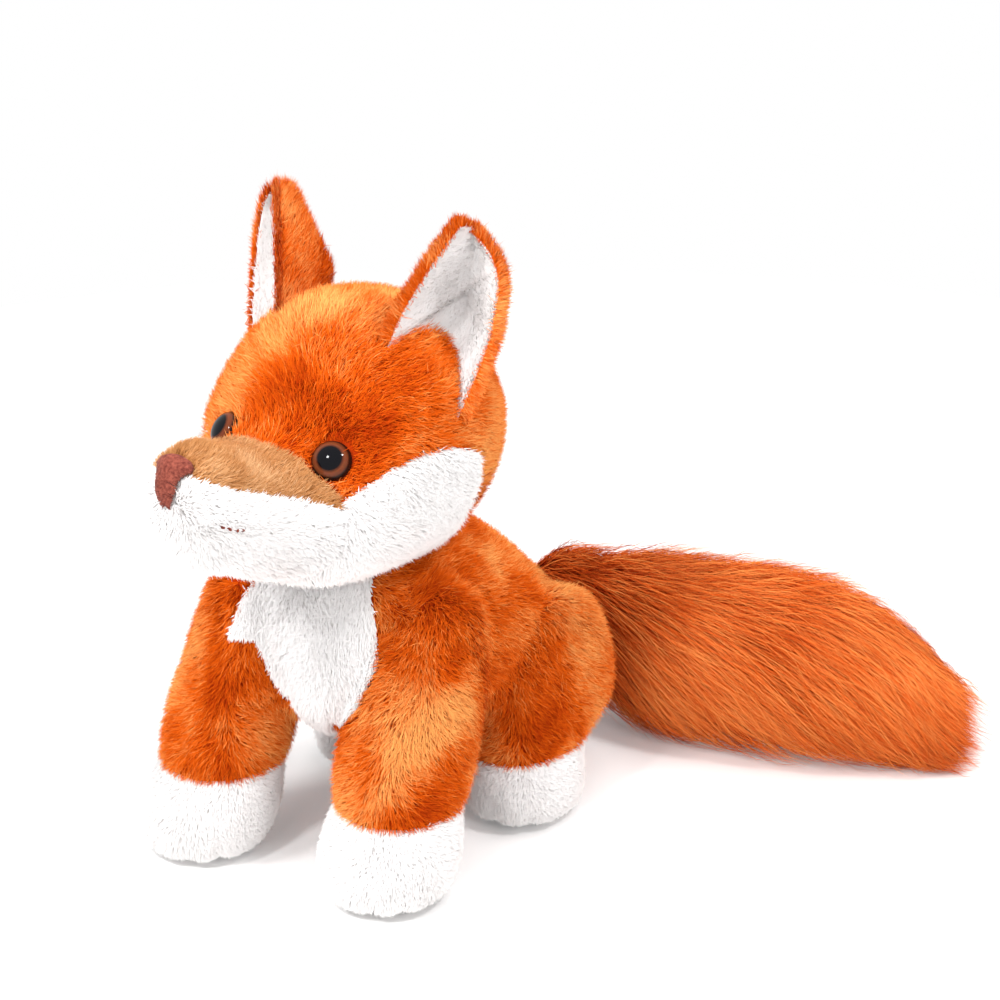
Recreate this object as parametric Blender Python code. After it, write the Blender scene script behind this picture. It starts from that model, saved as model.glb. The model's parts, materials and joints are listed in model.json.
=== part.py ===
"""Plush fox, sitting on four paws with its tail laid out beside it.

Metres, +Z up. The fox looks along -Y and its own left side is +X.
Each sewn panel is a shell as thick as its backing and pile, and each stuffed
bag has its filling inside as a separate body. Sewn seams are small gaps.
"""

import math

import bmesh
import bpy
import numpy as np
from mathutils import Matrix, Vector

# Overall sizes
head_length = 0.156
head_half_width = 0.0555
head_height = 0.0995
body_length = 0.158
body_half_width = 0.0460
body_height = 0.131
front_limb_radius = 0.0275
hind_limb_half_width = 0.024
hind_limb_half_length = 0.039
tail_length = 0.178
tail_half_width = 0.036
tail_height = 0.078
ear_height = 0.050
ear_width = 0.052

# Cloth and seams
panel_thickness = 0.0050
seam_gap = 0.0003
sole_cut = 0.0005
overrun = 0.030

# How far each level lies under the top of the body
neck_cut = 0.005
front_limb_drop = 0.009
hind_limb_drop = 0.039
neck_height = body_height - neck_cut
front_limb_height = body_height - front_limb_drop
hind_limb_height = body_height - hind_limb_drop

# Places in the fox's own plane, counted from the breast
chest_front_y = -0.077
muzzle_overhang = 0.060
head_axis_back = 0.095
nose_tip_y = chest_front_y - muzzle_overhang
head_axis_y = nose_tip_y + head_axis_back
front_left_step_x = 0.0400
front_right_step_x = 0.0430
front_left_step_y = -0.0715
front_right_step_y = -0.0850
front_limb_lean = 0.034
front_limb_splay = 0.006
hind_limb_inset = 0.0110
hind_limb_ahead = 0.0500
tail_root_behind = 0.0090
rump_y = chest_front_y + body_length
hind_limb_x = body_half_width - hind_limb_inset
hind_limb_y = rump_y - hind_limb_ahead
tail_root_y = rump_y + tail_root_behind
tail_turn_angle = math.radians(67.0)

# Shoulder and hip seams
shoulder_inset = 0.0120
shoulder_behind = 0.0310
shoulder_drop = 0.0290
shoulder_x = body_half_width - shoulder_inset
shoulder_y = chest_front_y + shoulder_behind
shoulder_height = front_limb_height - shoulder_drop
shoulder_tilt_angle = math.radians(18.0)
shoulder_radius = 0.0345
hip_inset = 0.0200
hip_drop = 0.0410
hip_x = body_half_width - hip_inset
hip_height = hind_limb_height - hip_drop
hip_radius = 0.0430
hip_tilt_angle = math.radians(12.0)
front_paw_seam = 0.0360
hind_paw_seam = 0.0300

# Face
eye_radius = 0.0075
eye_dome = 0.0050
eye_sink = 0.0012
eye_along_share = 0.335
eye_angle = math.radians(49.0)
shank_radius = 0.0022
shank_length = 0.0110
washer_radius = 0.0080
washer_thickness = 0.0015
washer_place = 0.0058
bridge_front_rise = 0.0570
bridge_back_rise = 0.0390
muzzle_length = 0.0420
muzzle_slope_share = 0.18
cheek_seam_rise = 0.0540
cheek_length = 0.1050
bridge_seam_front = neck_height + bridge_front_rise
bridge_seam_back = neck_height + bridge_back_rise
muzzle_seam_y = nose_tip_y + muzzle_length
cheek_back_y = nose_tip_y + cheek_length
nose_thickness = 0.0016
nose_half_width = 0.0080
nose_depth = 0.0068
nose_low_rise = 0.0440
nose_high_rise = 0.0610
nose_low = neck_height + nose_low_rise
nose_high = neck_height + nose_high_rise
stitch_radius = 0.0006
stitch_angle = 0.0

# Ears
ear_thickness = 0.0062
ear_lining_thickness = 0.0026
ear_lining_margin = 0.0034
ear_tip_share = 0.20
ear_root_radius = 0.0034
ear_rise = 0.0022
ear_clearance = 0.0012
ear_cup = 0.0240
ear_tip_margin = 0.0012
ear_edge_share = 0.20
ear_along_share = 0.61
ear_angle = math.radians(40.0)
ear_turn_angle = math.radians(24.0)
ear_tilt_angle = math.radians(14.6)
ear_lean_angle = math.radians(11.0)

# Breast panel
chest_half_width = 0.0310
chest_drop = 0.0780
chest_depth = 0.0300

# Tail root
tail_root_radius = 0.0185
tail_root_low = 0.0200
tail_root_high = 0.0480
tail_core_share = 0.42
tail_lower_share = 0.50
tail_core_length_share = 0.92

# Facets
sharp_angle = math.radians(50.0)
ring_points = 20
limb_points = 12
tail_points = 14
round_steps = 24
eye_steps = 12
dome_steps = 4
root_steps = 4
ear_columns = 6
chord_share = 0.02
thread_sides = 6

side_shares = (("left", 1.0), ("right", -1.0))

# The nested cuts of the thin panels come out open or empty with the exact solver
seam_solver = "MANIFOLD"

# How far each layer of a limb lies under its outer face
limb_depths = (
    ("sleeve", 0.0),
    ("paw", 0.0),
    ("hollow", panel_thickness),
    ("leg_filling", panel_thickness + seam_gap),
)

# Along the head from nose to nape: place, half width, low edge, high edge
head_shares = (
    (0.000, 0.00, 0.410, 0.410),
    (0.018, 0.235, 0.270, 0.570),
    (0.070, 0.315, 0.150, 0.610),
    (0.155, 0.400, 0.090, 0.595),
    (0.245, 0.505, 0.040, 0.580),
    (0.310, 0.665, 0.010, 0.585),
    (0.345, 0.775, -0.010, 0.620),
    (0.400, 0.880, -0.030, 0.765),
    (0.470, 0.945, -0.050, 0.885),
    (0.560, 0.990, -0.060, 0.985),
    (0.660, 0.985, -0.060, 1.000),
    (0.780, 0.895, -0.020, 0.955),
    (0.880, 0.730, 0.080, 0.850),
    (0.950, 0.540, 0.220, 0.710),
    (0.988, 0.300, 0.360, 0.590),
    (1.000, 0.000, 0.470, 0.470),
)

# Along the body from breast to rump: place, half width, low edge, high edge
body_shares = (
    (0.000, 0.00, 0.680, 0.680),
    (0.030, 0.47, 0.480, 0.880),
    (0.095, 0.75, 0.397, 1.000),
    (0.200, 0.91, 0.345, 1.050),
    (0.360, 0.98, 0.280, 1.050),
    (0.520, 1.00, 0.210, 0.985),
    (0.670, 1.00, 0.130, 0.860),
    (0.810, 0.93, 0.060, 0.690),
    (0.920, 0.70, 0.060, 0.490),
    (0.976, 0.38, 0.130, 0.350),
    (1.000, 0.00, 0.240, 0.240),
)

# Down the front limb: place, half width, forward half, rear half
front_limb_shares = (
    (0.000, 0.00, 0.00, 0.00),
    (0.030, 0.42, 0.42, 0.42),
    (0.100, 0.74, 0.70, 0.78),
    (0.220, 0.90, 0.84, 0.98),
    (0.380, 0.98, 0.92, 1.00),
    (0.530, 1.00, 1.00, 1.00),
    (0.640, 0.98, 1.02, 0.94),
    (0.702, 0.93, 0.98, 0.88),
    (0.770, 0.98, 1.08, 0.88),
    (0.850, 1.02, 1.14, 0.90),
    (0.925, 0.97, 1.08, 0.84),
    (0.970, 0.84, 0.95, 0.72),
    (0.995, 0.62, 0.74, 0.54),
    (1.000, 0.00, 0.00, 0.00),
)

# Down the hind limb: place, half width, forward half, rear half, outward shift
hind_limb_shares = (
    (0.000, 0.00, 0.00, 0.00, 0.00),
    (0.030, 0.36, 0.30, 0.34, 0.00),
    (0.110, 0.62, 0.56, 0.66, 0.00),
    (0.280, 0.84, 0.80, 0.92, 0.00),
    (0.460, 0.96, 0.92, 1.00, 0.00),
    (0.560, 0.96, 0.98, 0.94, 0.04),
    (0.620, 0.94, 1.04, 0.72, 0.08),
    (0.676, 0.90, 1.08, 0.42, 0.14),
    (0.750, 0.94, 1.14, 0.27, 0.19),
    (0.850, 0.98, 1.16, 0.24, 0.22),
    (0.930, 0.94, 1.12, 0.19, 0.22),
    (0.972, 0.82, 1.00, 0.07, 0.22),
    (0.995, 0.60, 0.84, -0.10, 0.22),
    (1.000, 0.00, 0.46, -0.46, 0.22),
)

# Along the tail from root to tip: place, half width, low edge, high edge
tail_shares = (
    (-0.088, 0.00, 0.760, 0.760),
    (-0.074, 0.22, 0.580, 0.940),
    (-0.035, 0.40, 0.380, 1.020),
    (0.020, 0.42, 0.220, 1.050),
    (0.085, 0.43, 0.120, 1.060),
    (0.170, 0.66, 0.040, 1.060),
    (0.280, 0.90, 0.000, 1.050),
    (0.430, 0.98, 0.000, 1.050),
    (0.580, 1.00, 0.000, 1.030),
    (0.700, 0.97, 0.000, 0.985),
    (0.810, 0.86, 0.000, 0.810),
    (0.915, 0.68, 0.000, 0.570),
    (0.975, 0.44, 0.010, 0.310),
    (1.000, 0.00, 0.120, 0.120),
)

# Down the breast panel: place, half width
chest_shares = (
    (0.00, 0.72),
    (0.25, 0.96),
    (0.45, 1.00),
    (0.65, 0.80),
    (0.85, 0.36),
    (1.00, 0.04),
)

# Along the cheek seam from the muzzle back: forward place, drop below its highest point
cheek_shares = (
    (1.30, 0.20),
    (0.54, 0.28),
    (0.42, 0.09),
    (0.28, 0.00),
    (0.12, 0.04),
    (0.00, 0.16),
)

# Down the nose: place, half width
nose_shares = (
    (0.00, 0.45),
    (0.14, 0.90),
    (0.34, 1.00),
    (0.62, 0.60),
    (0.86, 0.30),
    (1.00, 0.10),
)

# From the nose to each end of the mouth: places along the head
stitch_shares = (0.009, 0.018, 0.044, 0.070, 0.098, 0.125)

# Up the ear: place, inner edge, outer edge, depth of its cup
ear_shares = (
    (0.00, -0.36, 0.14, 0.00),
    (0.04, -0.41, 0.21, 0.44),
    (0.16, -0.45, 0.27, 0.74),
    (0.34, -0.47, 0.27, 1.00),
    (0.56, -0.46, 0.18, 0.78),
    (0.76, -0.45, 0.09, 0.56),
    (0.90, -0.44, -0.03, 0.41),
    (0.97, -0.43, -0.17, 0.30),
    (1.00, -0.42, -0.25, 0.24),
)


def clear_scene():
    for old in list(bpy.data.objects):
        bpy.data.objects.remove(old, do_unlink=True)


def make_material(name, colour, roughness):
    material = bpy.data.materials.new(name)
    material.use_nodes = True
    shader = material.node_tree.nodes["Principled BSDF"]
    shader.inputs["Base Color"].default_value = (*colour, 1.0)
    shader.inputs["Roughness"].default_value = roughness
    shader.inputs["Metallic"].default_value = 0.0
    return material


def link_mesh(name, points, faces):
    mesh = bpy.data.meshes.new(name)
    mesh.from_pydata([tuple(float(value) for value in point) for point in points], [], faces)
    work = bmesh.new()
    work.from_mesh(mesh)
    bmesh.ops.recalc_face_normals(work, faces=work.faces)
    work.to_mesh(mesh)
    work.free()
    mesh.shade_smooth()
    mesh.set_sharp_from_angle(angle=sharp_angle)
    shape = bpy.data.objects.new(name, mesh)
    bpy.context.scene.collection.objects.link(shape)
    return shape


def loft(name, rings):
    """Skin a list of rings; a ring of one point is a pole, others end in flat caps."""
    points = []
    starts = []
    for ring in rings:
        starts.append(len(points))
        points.extend(ring)
    faces = []
    for lower in range(len(rings) - 1):
        count_a = len(rings[lower])
        count_b = len(rings[lower + 1])
        a = starts[lower]
        b = starts[lower + 1]
        for step in range(max(count_a, count_b)):
            following = (step + 1) % max(count_a, count_b)
            if count_a == 1:
                faces.append((a, b + step, b + following))
            elif count_b == 1:
                faces.append((a + step, b, a + following))
            else:
                faces.append((a + step, b + step, b + following))
                faces.append((a + step, b + following, a + following))
    for end in (0, len(rings) - 1):
        if len(rings[end]) > 1:
            faces.append(tuple(starts[end] + step for step in range(len(rings[end]))))
    return link_mesh(name, points, faces)


def grow_mesh(shape, amount):
    """Move every point along its normal, outward when amount is positive."""
    if amount == 0:
        return shape
    work = bmesh.new()
    work.from_mesh(shape.data)
    work.normal_update()
    moves = [(vertex, vertex.normal.copy()) for vertex in work.verts]
    for vertex, normal in moves:
        vertex.co += normal * amount
    work.to_mesh(shape.data)
    work.free()
    return shape


def lying_rings(shares, length, half_width, height, count, lower_share=1.0):
    """Rings square to Y, each an ellipse whose lower half fills out as lower_share falls."""
    rings = []
    for along, width, low, high in shares:
        middle = height * (low + high) / 2.0
        half_height = height * (high - low) / 2.0
        if width == 0:
            rings.append([(0.0, along * length, middle)])
            continue
        ring = []
        for step in range(count):
            turn = 2.0 * math.pi * step / count
            spread = math.cos(turn)
            if math.sin(turn) < 0:
                spread = math.copysign(abs(spread) ** lower_share, spread)
            rise = middle + half_height * math.sin(turn)
            ring.append((width * half_width * spread, along * length, rise))
        rings.append(ring)
    return rings


def head_form(name, grow=0.0):
    shape = loft(name, lying_rings(head_shares, head_length, head_half_width, head_height, ring_points))
    shape.location = (0.0, nose_tip_y, neck_height)
    return grow_mesh(shape, grow)


def body_form(name, grow=0.0):
    shape = loft(name, lying_rings(body_shares, body_length, body_half_width, body_height, ring_points))
    shape.location = (0.0, chest_front_y, 0.0)
    return grow_mesh(shape, grow)


def tail_form(name):
    rings = lying_rings(tail_shares, tail_length, tail_half_width, tail_height, tail_points, tail_lower_share)
    shape = loft(name, rings)
    shape.location = (0.0, tail_root_y, -sole_cut)
    shape.rotation_euler = (0.0, 0.0, -tail_turn_angle)
    return shape


def tail_core(name, start, grow):
    """The filled tube inside the tail's pile, drawn in about the same middle line."""
    rows = []
    for along, width, low, high in tail_shares:
        if along < 0:
            continue
        middle = (low + high) / 2.0
        half = (high - low) / 2.0 * tail_core_share
        rows.append((along * tail_core_length_share, width * tail_core_share, middle - half, middle + half))
    if start != 0:
        rows.insert(0, (start / tail_length, *rows[0][1:]))
    rings = lying_rings(rows, tail_length, tail_half_width, tail_height, tail_points)
    shape = grow_mesh(loft(name, rings), grow)
    shape.location = (0.0, tail_root_y, -sole_cut)
    shape.rotation_euler = (0.0, 0.0, -tail_turn_angle)
    return shape


def front_limb_form(name, side, step, grow=0.0):
    rings = []
    drop_length = front_limb_height + sole_cut
    for along, width, ahead, behind in front_limb_shares:
        height = front_limb_height - along * drop_length
        x = side * (step[0] - front_limb_splay * (1.0 - along))
        y = step[1] + front_limb_lean * (1.0 - along)
        rings.append(limb_ring(x, y, height, width, ahead, behind, front_limb_radius, front_limb_radius))
    return grow_mesh(loft(name, rings), grow)


def hind_limb_form(name, side, grow=0.0):
    rings = []
    drop_length = hind_limb_height + sole_cut
    for along, width, ahead, behind, outward in hind_limb_shares:
        height = hind_limb_height - along * drop_length
        x = side * (hind_limb_x + outward * hind_limb_half_width)
        half_width = hind_limb_half_width
        rings.append(limb_ring(x, hind_limb_y, height, width, ahead, behind, half_width, hind_limb_half_length))
    return grow_mesh(loft(name, rings), grow)


def limb_ring(x, y, height, width, ahead, behind, half_width, half_length):
    """A level ring that reaches its own distance forward and backward."""
    middle = y + half_length * (behind - ahead) / 2.0
    half_depth = half_length * (behind + ahead) / 2.0
    if width == 0:
        return [(x, middle, height)]
    ring = []
    for step in range(limb_points):
        turn = 2.0 * math.pi * step / limb_points
        ring.append((x + width * half_width * math.cos(turn), middle + half_depth * math.sin(turn), height))
    return ring


def block(name, low, high):
    corners = [(x, y, z) for x in (low[0], high[0]) for y in (low[1], high[1]) for z in (low[2], high[2])]
    faces = [(0, 1, 3, 2), (4, 6, 7, 5), (0, 4, 5, 1), (2, 3, 7, 6), (0, 2, 6, 4), (1, 5, 7, 3)]
    return hide_cutter(link_mesh(name, corners, faces))


def rod(name, radius, low, high, steps=round_steps):
    """A round bar along its own Z from low to high."""
    rings = []
    for height in (low, high):
        turns = [2.0 * math.pi * step / steps for step in range(steps)]
        rings.append([(radius * math.cos(turn), radius * math.sin(turn), height) for turn in turns])
    return loft(name, rings)


def slot_bar(name, radius, low, high, tail):
    """A bar along its own Z whose outline is a half circle with a straight skirt toward -Y."""
    rings = []
    half_steps = round_steps // 2
    for height in (low, high):
        turns = [math.pi * step / half_steps for step in range(half_steps + 1)]
        ring = [(radius * math.cos(turn), radius * math.sin(turn), height) for turn in turns]
        ring.append((-radius, -tail, height))
        ring.append((radius, -tail, height))
        rings.append(ring)
    return loft(name, rings)


def hide_cutter(shape):
    shape.hide_render = True
    shape.display_type = "WIRE"
    return shape


def combine(shape, cutter, operation):
    modifier = shape.modifiers.new(cutter.name, "BOOLEAN")
    modifier.operation = operation
    modifier.solver = seam_solver
    modifier.object = cutter
    return shape


def cut(shape, *cutters):
    for cutter in cutters:
        combine(shape, cutter, "DIFFERENCE")
    return shape


def keep(shape, *cutters):
    for cutter in cutters:
        combine(shape, cutter, "INTERSECT")
    return shape


def finish(shape, material):
    shape.data.materials.clear()
    shape.data.materials.append(material)
    return shape


def place_frame(shape, origin, across, forward, upward):
    """Stand an object in a frame given by its three directions in the world."""
    frame = Matrix((across, forward, upward)).transposed()
    shape.matrix_world = Matrix.Translation(origin) @ frame.to_4x4()
    return shape


def share_at(shares, along, column):
    places = [row[0] for row in shares]
    return float(np.interp(along, places, [row[column] for row in shares]))


def head_point(along, angle, lift=0.0):
    """A point on the head's skin, at a share of its length and an angle in its ring."""
    low = share_at(head_shares, along, 2)
    high = share_at(head_shares, along, 3)
    width = share_at(head_shares, along, 1) * head_half_width
    middle = head_height * (low + high) / 2.0
    half_height = head_height * (high - low) / 2.0
    x = width * math.cos(angle)
    z = neck_height + middle + half_height * math.sin(angle)
    point = Vector((x, nose_tip_y + along * head_length, z))
    if lift == 0:
        return point
    return point + head_normal(along, angle) * lift


def head_normal(along, angle):
    """The outward direction of the head's skin, from two short chords."""
    before = max(along - chord_share, 0.0)
    chord = head_point(along + chord_share, angle) - head_point(before, angle)
    sweep = head_point(along, angle + chord_share) - head_point(along, angle - chord_share)
    return chord.cross(sweep).normalized()


def mirrored(vector, side):
    return Vector((vector.x * side, vector.y, vector.z))


def make_cloths():
    return {
        "orange": make_material("orange_plush", (0.72, 0.20, 0.035), 0.92),
        "white": make_material("white_plush", (0.92, 0.88, 0.85), 0.92),
        "tan": make_material("tan_plush", (0.50, 0.24, 0.11), 0.92),
        "rust": make_material("rust_fur", (0.42, 0.09, 0.018), 0.85),
        "fibre": make_material("fibre_filling", (0.86, 0.86, 0.84), 0.95),
        "thread": make_material("brown_thread", (0.14, 0.035, 0.025), 0.55),
        "eye": make_material("brown_eye", (0.05, 0.018, 0.012), 0.08),
        "washer": make_material("white_washer", (0.80, 0.80, 0.78), 0.45),
    }


def shoulder_frame(side):
    """Origin, across, forward and upward of the seam, with across square to it."""
    origin = Vector((side * shoulder_x, shoulder_y, shoulder_height))
    outward = Vector((side * math.cos(shoulder_tilt_angle), 0.0, -math.sin(shoulder_tilt_angle)))
    rise = Vector((side * math.sin(shoulder_tilt_angle), 0.0, math.cos(shoulder_tilt_angle)))
    return origin, outward, rise


def hip_frame(side):
    origin = Vector((side * hip_x, hind_limb_y, hip_height))
    outward = Vector((side * math.cos(hip_tilt_angle), 0.0, -math.sin(hip_tilt_angle)))
    rise = Vector((side * math.sin(hip_tilt_angle), 0.0, math.cos(hip_tilt_angle)))
    return origin, outward, rise


def seam_bar(name, frame, radius, low, high, tail):
    """A slot-shaped bar that stands square on a limb seam and runs down its skirt."""
    origin, outward, rise = frame
    bar = hide_cutter(slot_bar(name, radius, low, high, tail))
    across = rise.cross(outward)
    return place_frame(bar, origin, across, rise, outward)


def prism(name, outline, low, high, axis):
    """Extrude an outline along Y from its X and Z, or along Z from its X and Y."""
    rings = []
    for level in (low, high):
        if axis == "Y":
            rings.append([(a, level, b) for a, b in outline])
        else:
            rings.append([(a, b, level) for a, b in outline])
    return hide_cutter(loft(name, rings))


def side_prism(name, outline, low, high):
    """Extrude an outline of Y and Z along X."""
    return hide_cutter(loft(name, [[(level, a, b) for a, b in outline] for level in (low, high)]))


def bridge_height(y):
    """The height of the seam under the snout bridge at a place along the muzzle."""
    slope = (bridge_seam_front - bridge_seam_back) / (nose_tip_y - muzzle_seam_y)
    return bridge_seam_back + slope * (y - muzzle_seam_y)


def cheek_outline(margin):
    """A cheek seen from the side, from the neck up to its seam with the crown."""
    outline = [(cheek_back_y + margin, 0.0), (nose_tip_y - overrun, 0.0)]
    for back, drop in cheek_shares:
        outline.append((cheek_back_y + margin - back * cheek_length,
                        neck_height + cheek_seam_rise * (1.0 - drop) + margin))
    return outline


def both_sides(outline):
    """Complete an outline given from its top to its bottom on the fox's left."""
    return outline + [(-x, z) for x, z in reversed(outline)]


def half_space(name, frame, low):
    """Everything on the outer side of a limb seam, from low outward."""
    origin, outward, rise = frame
    corner = block(name, (-head_length, -head_length, low), (head_length, head_length, head_length))
    return place_frame(corner, origin, rise.cross(outward), rise, outward)


def chest_cutter(name, margin):
    outline = []
    for drop, spread in chest_shares:
        outline.append((spread * chest_half_width + margin, neck_height - drop * chest_drop - margin))
    outline[0] = (outline[0][0], neck_height + overrun)
    return prism(name, both_sides(outline), chest_front_y - overrun, chest_front_y + chest_depth + margin, "Y")


def wedge_cutter(name, margin):
    """The muzzle's region: forward of a seam that runs back toward each cheek."""
    reach = head_half_width + overrun
    front = nose_tip_y - overrun
    middle = muzzle_seam_y + margin
    side_y = middle + muzzle_slope_share * reach
    outline = [(-reach, front), (reach, front), (reach, side_y), (0.0, middle), (-reach, side_y)]
    return prism(name, outline, 0.0, neck_height + head_height + overrun, "Z")


def make_body_cutters():
    cutters = {}
    for label, side in side_shares:
        cutters[f"{label}_shoulder_notch"] = seam_bar(
            f"{label}_shoulder_notch", shoulder_frame(side), shoulder_radius + seam_gap,
            -seam_gap / 2.0, body_half_width + overrun, shoulder_height)
        cutters[f"{label}_hip_notch"] = seam_bar(
            f"{label}_hip_notch", hip_frame(side), hip_radius + seam_gap,
            -seam_gap / 2.0, body_half_width + overrun, hip_height)
        near = side * seam_gap / 2.0
        far = side * (body_half_width + overrun)
        cutters[f"{label}_half"] = block(
            f"{label}_half", (min(near, far), chest_front_y - overrun, -overrun),
            (max(near, far), tail_root_y + overrun, body_height + overrun))
    cutters["neck_top"] = block(
        "neck_top", (-body_half_width - overrun, chest_front_y - overrun, neck_height - seam_gap / 2.0),
        (body_half_width + overrun, tail_root_y + overrun, body_height + overrun))
    cutters["tail_root_cut"] = hide_cutter(
        rod("tail_root_cut", tail_root_radius + seam_gap, -overrun, body_height))
    cutters["tail_root_cut"].location = (0.0, tail_root_y, 0.0)
    cutters["body_hollow"] = hide_cutter(body_form("body_hollow", -panel_thickness))
    cutters["chest_outline"] = chest_cutter("chest_outline", 0.0)
    cutters["chest_window"] = chest_cutter("chest_window", seam_gap)
    return cutters


def make_head_cutters():
    cutters = {}
    reach = head_half_width + overrun
    front = nose_tip_y - overrun
    back = nose_tip_y + head_length + overrun
    top = neck_height + head_height + overrun
    half_gap = seam_gap / 2.0
    cutters["head_hollow"] = hide_cutter(head_form("head_hollow", -panel_thickness))
    cutters["neck_base"] = block("neck_base", (-reach, front, 0.0), (reach, back, neck_height + half_gap))
    cutters["wedge_outline"] = wedge_cutter("wedge_outline", -half_gap)
    cutters["wedge_window"] = wedge_cutter("wedge_window", half_gap)
    seam = [(back, bridge_height(back)), (front, bridge_height(front))]
    upper = [(y, z + half_gap) for y, z in seam] + [(front, top), (back, top)]
    lower = [(y, z - half_gap) for y, z in seam] + [(front, 0.0), (back, 0.0)]
    cutters["bridge_outline"] = side_prism("bridge_outline", upper, -reach, reach)
    cutters["muzzle_outline"] = side_prism("muzzle_outline", lower, -reach, reach)
    cutters["cheek_window"] = side_prism("cheek_window", cheek_outline(half_gap), -reach, reach)
    for label, side in side_shares:
        cutters[f"{label}_cheek_outline"] = side_prism(
            f"{label}_cheek_outline", cheek_outline(-half_gap), side * half_gap, side * reach)
        origin, across, forward, upward = eye_frame(side)
        seat = hide_cutter(rod(f"{label}_eye_seat", eye_radius + seam_gap, -eye_sink, eye_dome + overrun))
        cutters[f"{label}_eye_seat"] = place_frame(seat, origin, across, forward, upward)
        hole = hide_cutter(rod(f"{label}_shank_hole", shank_radius + seam_gap, -shank_length - seam_gap,
                               eye_dome))
        cutters[f"{label}_shank_hole"] = place_frame(hole, origin, across, forward, upward)
        pocket = hide_cutter(rod(f"{label}_washer_pocket", washer_radius + seam_gap,
                                 -washer_place - washer_thickness - seam_gap, -panel_thickness))
        cutters[f"{label}_washer_pocket"] = place_frame(pocket, origin, across, forward, upward)
        origin, across, forward, upward = ear_frame(side)
        groove = hide_cutter(rod(f"{label}_ear_groove", ear_root_radius + seam_gap, -ear_width, ear_width))
        cutters[f"{label}_ear_groove"] = place_frame(groove, origin, forward, upward, across)
    outline = both_sides([(spread * nose_half_width, nose_high - drop * (nose_high - nose_low))
                          for drop, spread in nose_shares])
    cutters["nose_outline"] = prism("nose_outline", outline, front, nose_tip_y + nose_depth, "Y")
    cutters["nose_back"] = hide_cutter(head_form("nose_back", seam_gap))
    return cutters


def eye_frame(side):
    """Frame of one eye, with its own Z along the head's outward direction."""
    origin = mirrored(head_point(eye_along_share, eye_angle), side)
    upward = mirrored(head_normal(eye_along_share, eye_angle), side)
    across = Vector((0.0, 0.0, 1.0)).cross(upward).normalized()
    return origin, across, upward.cross(across), upward


def ear_frame(side):
    """Frame of one ear: its own X along the fold line, its own Z up the ear."""
    origin = mirrored(head_point(ear_along_share, ear_angle, ear_rise), side)
    tangent = head_point(ear_along_share, ear_angle - chord_share)
    tangent -= head_point(ear_along_share, ear_angle + chord_share)
    tangent = Matrix.Rotation(-ear_tilt_angle, 3, "Y") @ tangent.normalized()
    tangent = tangent * math.cos(ear_turn_angle) + Vector((0.0, math.sin(ear_turn_angle), 0.0))
    across = mirrored(tangent, side).normalized()
    lean = Vector((0.0, math.sin(ear_lean_angle), math.cos(ear_lean_angle)))
    upward = (lean - across * lean.dot(across)).normalized()
    return origin, across, upward.cross(across), upward


def empty(name, place):
    pivot = bpy.data.objects.new(name, None)
    pivot.location = place
    bpy.context.scene.collection.objects.link(pivot)
    return pivot


def attach(shape, parent):
    """Parent an object and leave it where it stands."""
    bpy.context.view_layer.update()
    world = shape.matrix_world.copy()
    shape.parent = parent
    shape.matrix_parent_inverse = parent.matrix_world.inverted()
    shape.matrix_world = world
    return shape


def make_body(cloths, cutters):
    for label, side in side_shares:
        panel = body_form(f"{label}_body_side")
        cut(panel, cutters["body_hollow"], cutters["neck_top"], cutters["tail_root_cut"])
        keep(panel, cutters[f"{label}_half"])
        cut(panel, cutters["chest_window"])
        cut(panel, cutters[f"{label}_shoulder_notch"], cutters[f"{label}_hip_notch"])
        finish(panel, cloths["orange"])
    chest = body_form("chest_panel")
    cut(chest, cutters["body_hollow"], cutters["neck_top"])
    keep(chest, cutters["chest_outline"])
    cut(chest, cutters["left_shoulder_notch"], cutters["right_shoulder_notch"])
    finish(chest, cloths["white"])
    filling = body_form("body_filling", -panel_thickness - seam_gap)
    cut(filling, cutters["neck_top"], cutters["tail_root_cut"])
    for label, side in side_shares:
        cut(filling, cutters[f"{label}_shoulder_notch"], cutters[f"{label}_hip_notch"])
    finish(filling, cloths["fibre"])


def make_head(cloths, cutters):
    pivot = empty("head_pivot", (0.0, head_axis_y, neck_height))
    seats = [cutters[name] for name in cutters if name.endswith(("eye_seat", "shank_hole", "washer_pocket"))]
    panels = (
        ("crown_panel", "orange", (), ("wedge_window", "cheek_window", "left_ear_groove", "right_ear_groove")),
        ("snout_bridge", "tan", ("wedge_outline", "bridge_outline"), ()),
        ("muzzle_panel", "white", ("wedge_outline", "muzzle_outline"), ()),
        ("left_cheek", "white", ("left_cheek_outline",), ("wedge_window",)),
        ("right_cheek", "white", ("right_cheek_outline",), ("wedge_window",)),
    )
    for name, cloth, kept, taken in panels:
        panel = head_form(name)
        cut(panel, cutters["head_hollow"], cutters["neck_base"])
        keep(panel, *[cutters[key] for key in kept])
        cut(panel, *[cutters[key] for key in taken])
        cut(panel, *seats)
        attach(finish(panel, cloths[cloth]), pivot)
    filling = head_form("head_filling", -panel_thickness - seam_gap)
    cut(filling, cutters["neck_base"])
    taken = ("shank_hole", "washer_pocket")
    cut(filling, *[cutters[name] for name in cutters if name.endswith(taken)])
    attach(finish(filling, cloths["fibre"]), pivot)
    nose = head_form("nose_patch", nose_thickness)
    cut(nose, cutters["nose_back"])
    keep(nose, cutters["nose_outline"])
    attach(finish(nose, cloths["thread"]), pivot)
    attach(make_mouth(cloths), pivot)
    for label, side in side_shares:
        attach(make_eye(f"{label}_eye", side, cloths), pivot)
        attach(make_washer(f"{label}_eye_washer", side, cloths), pivot)
    return pivot


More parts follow.
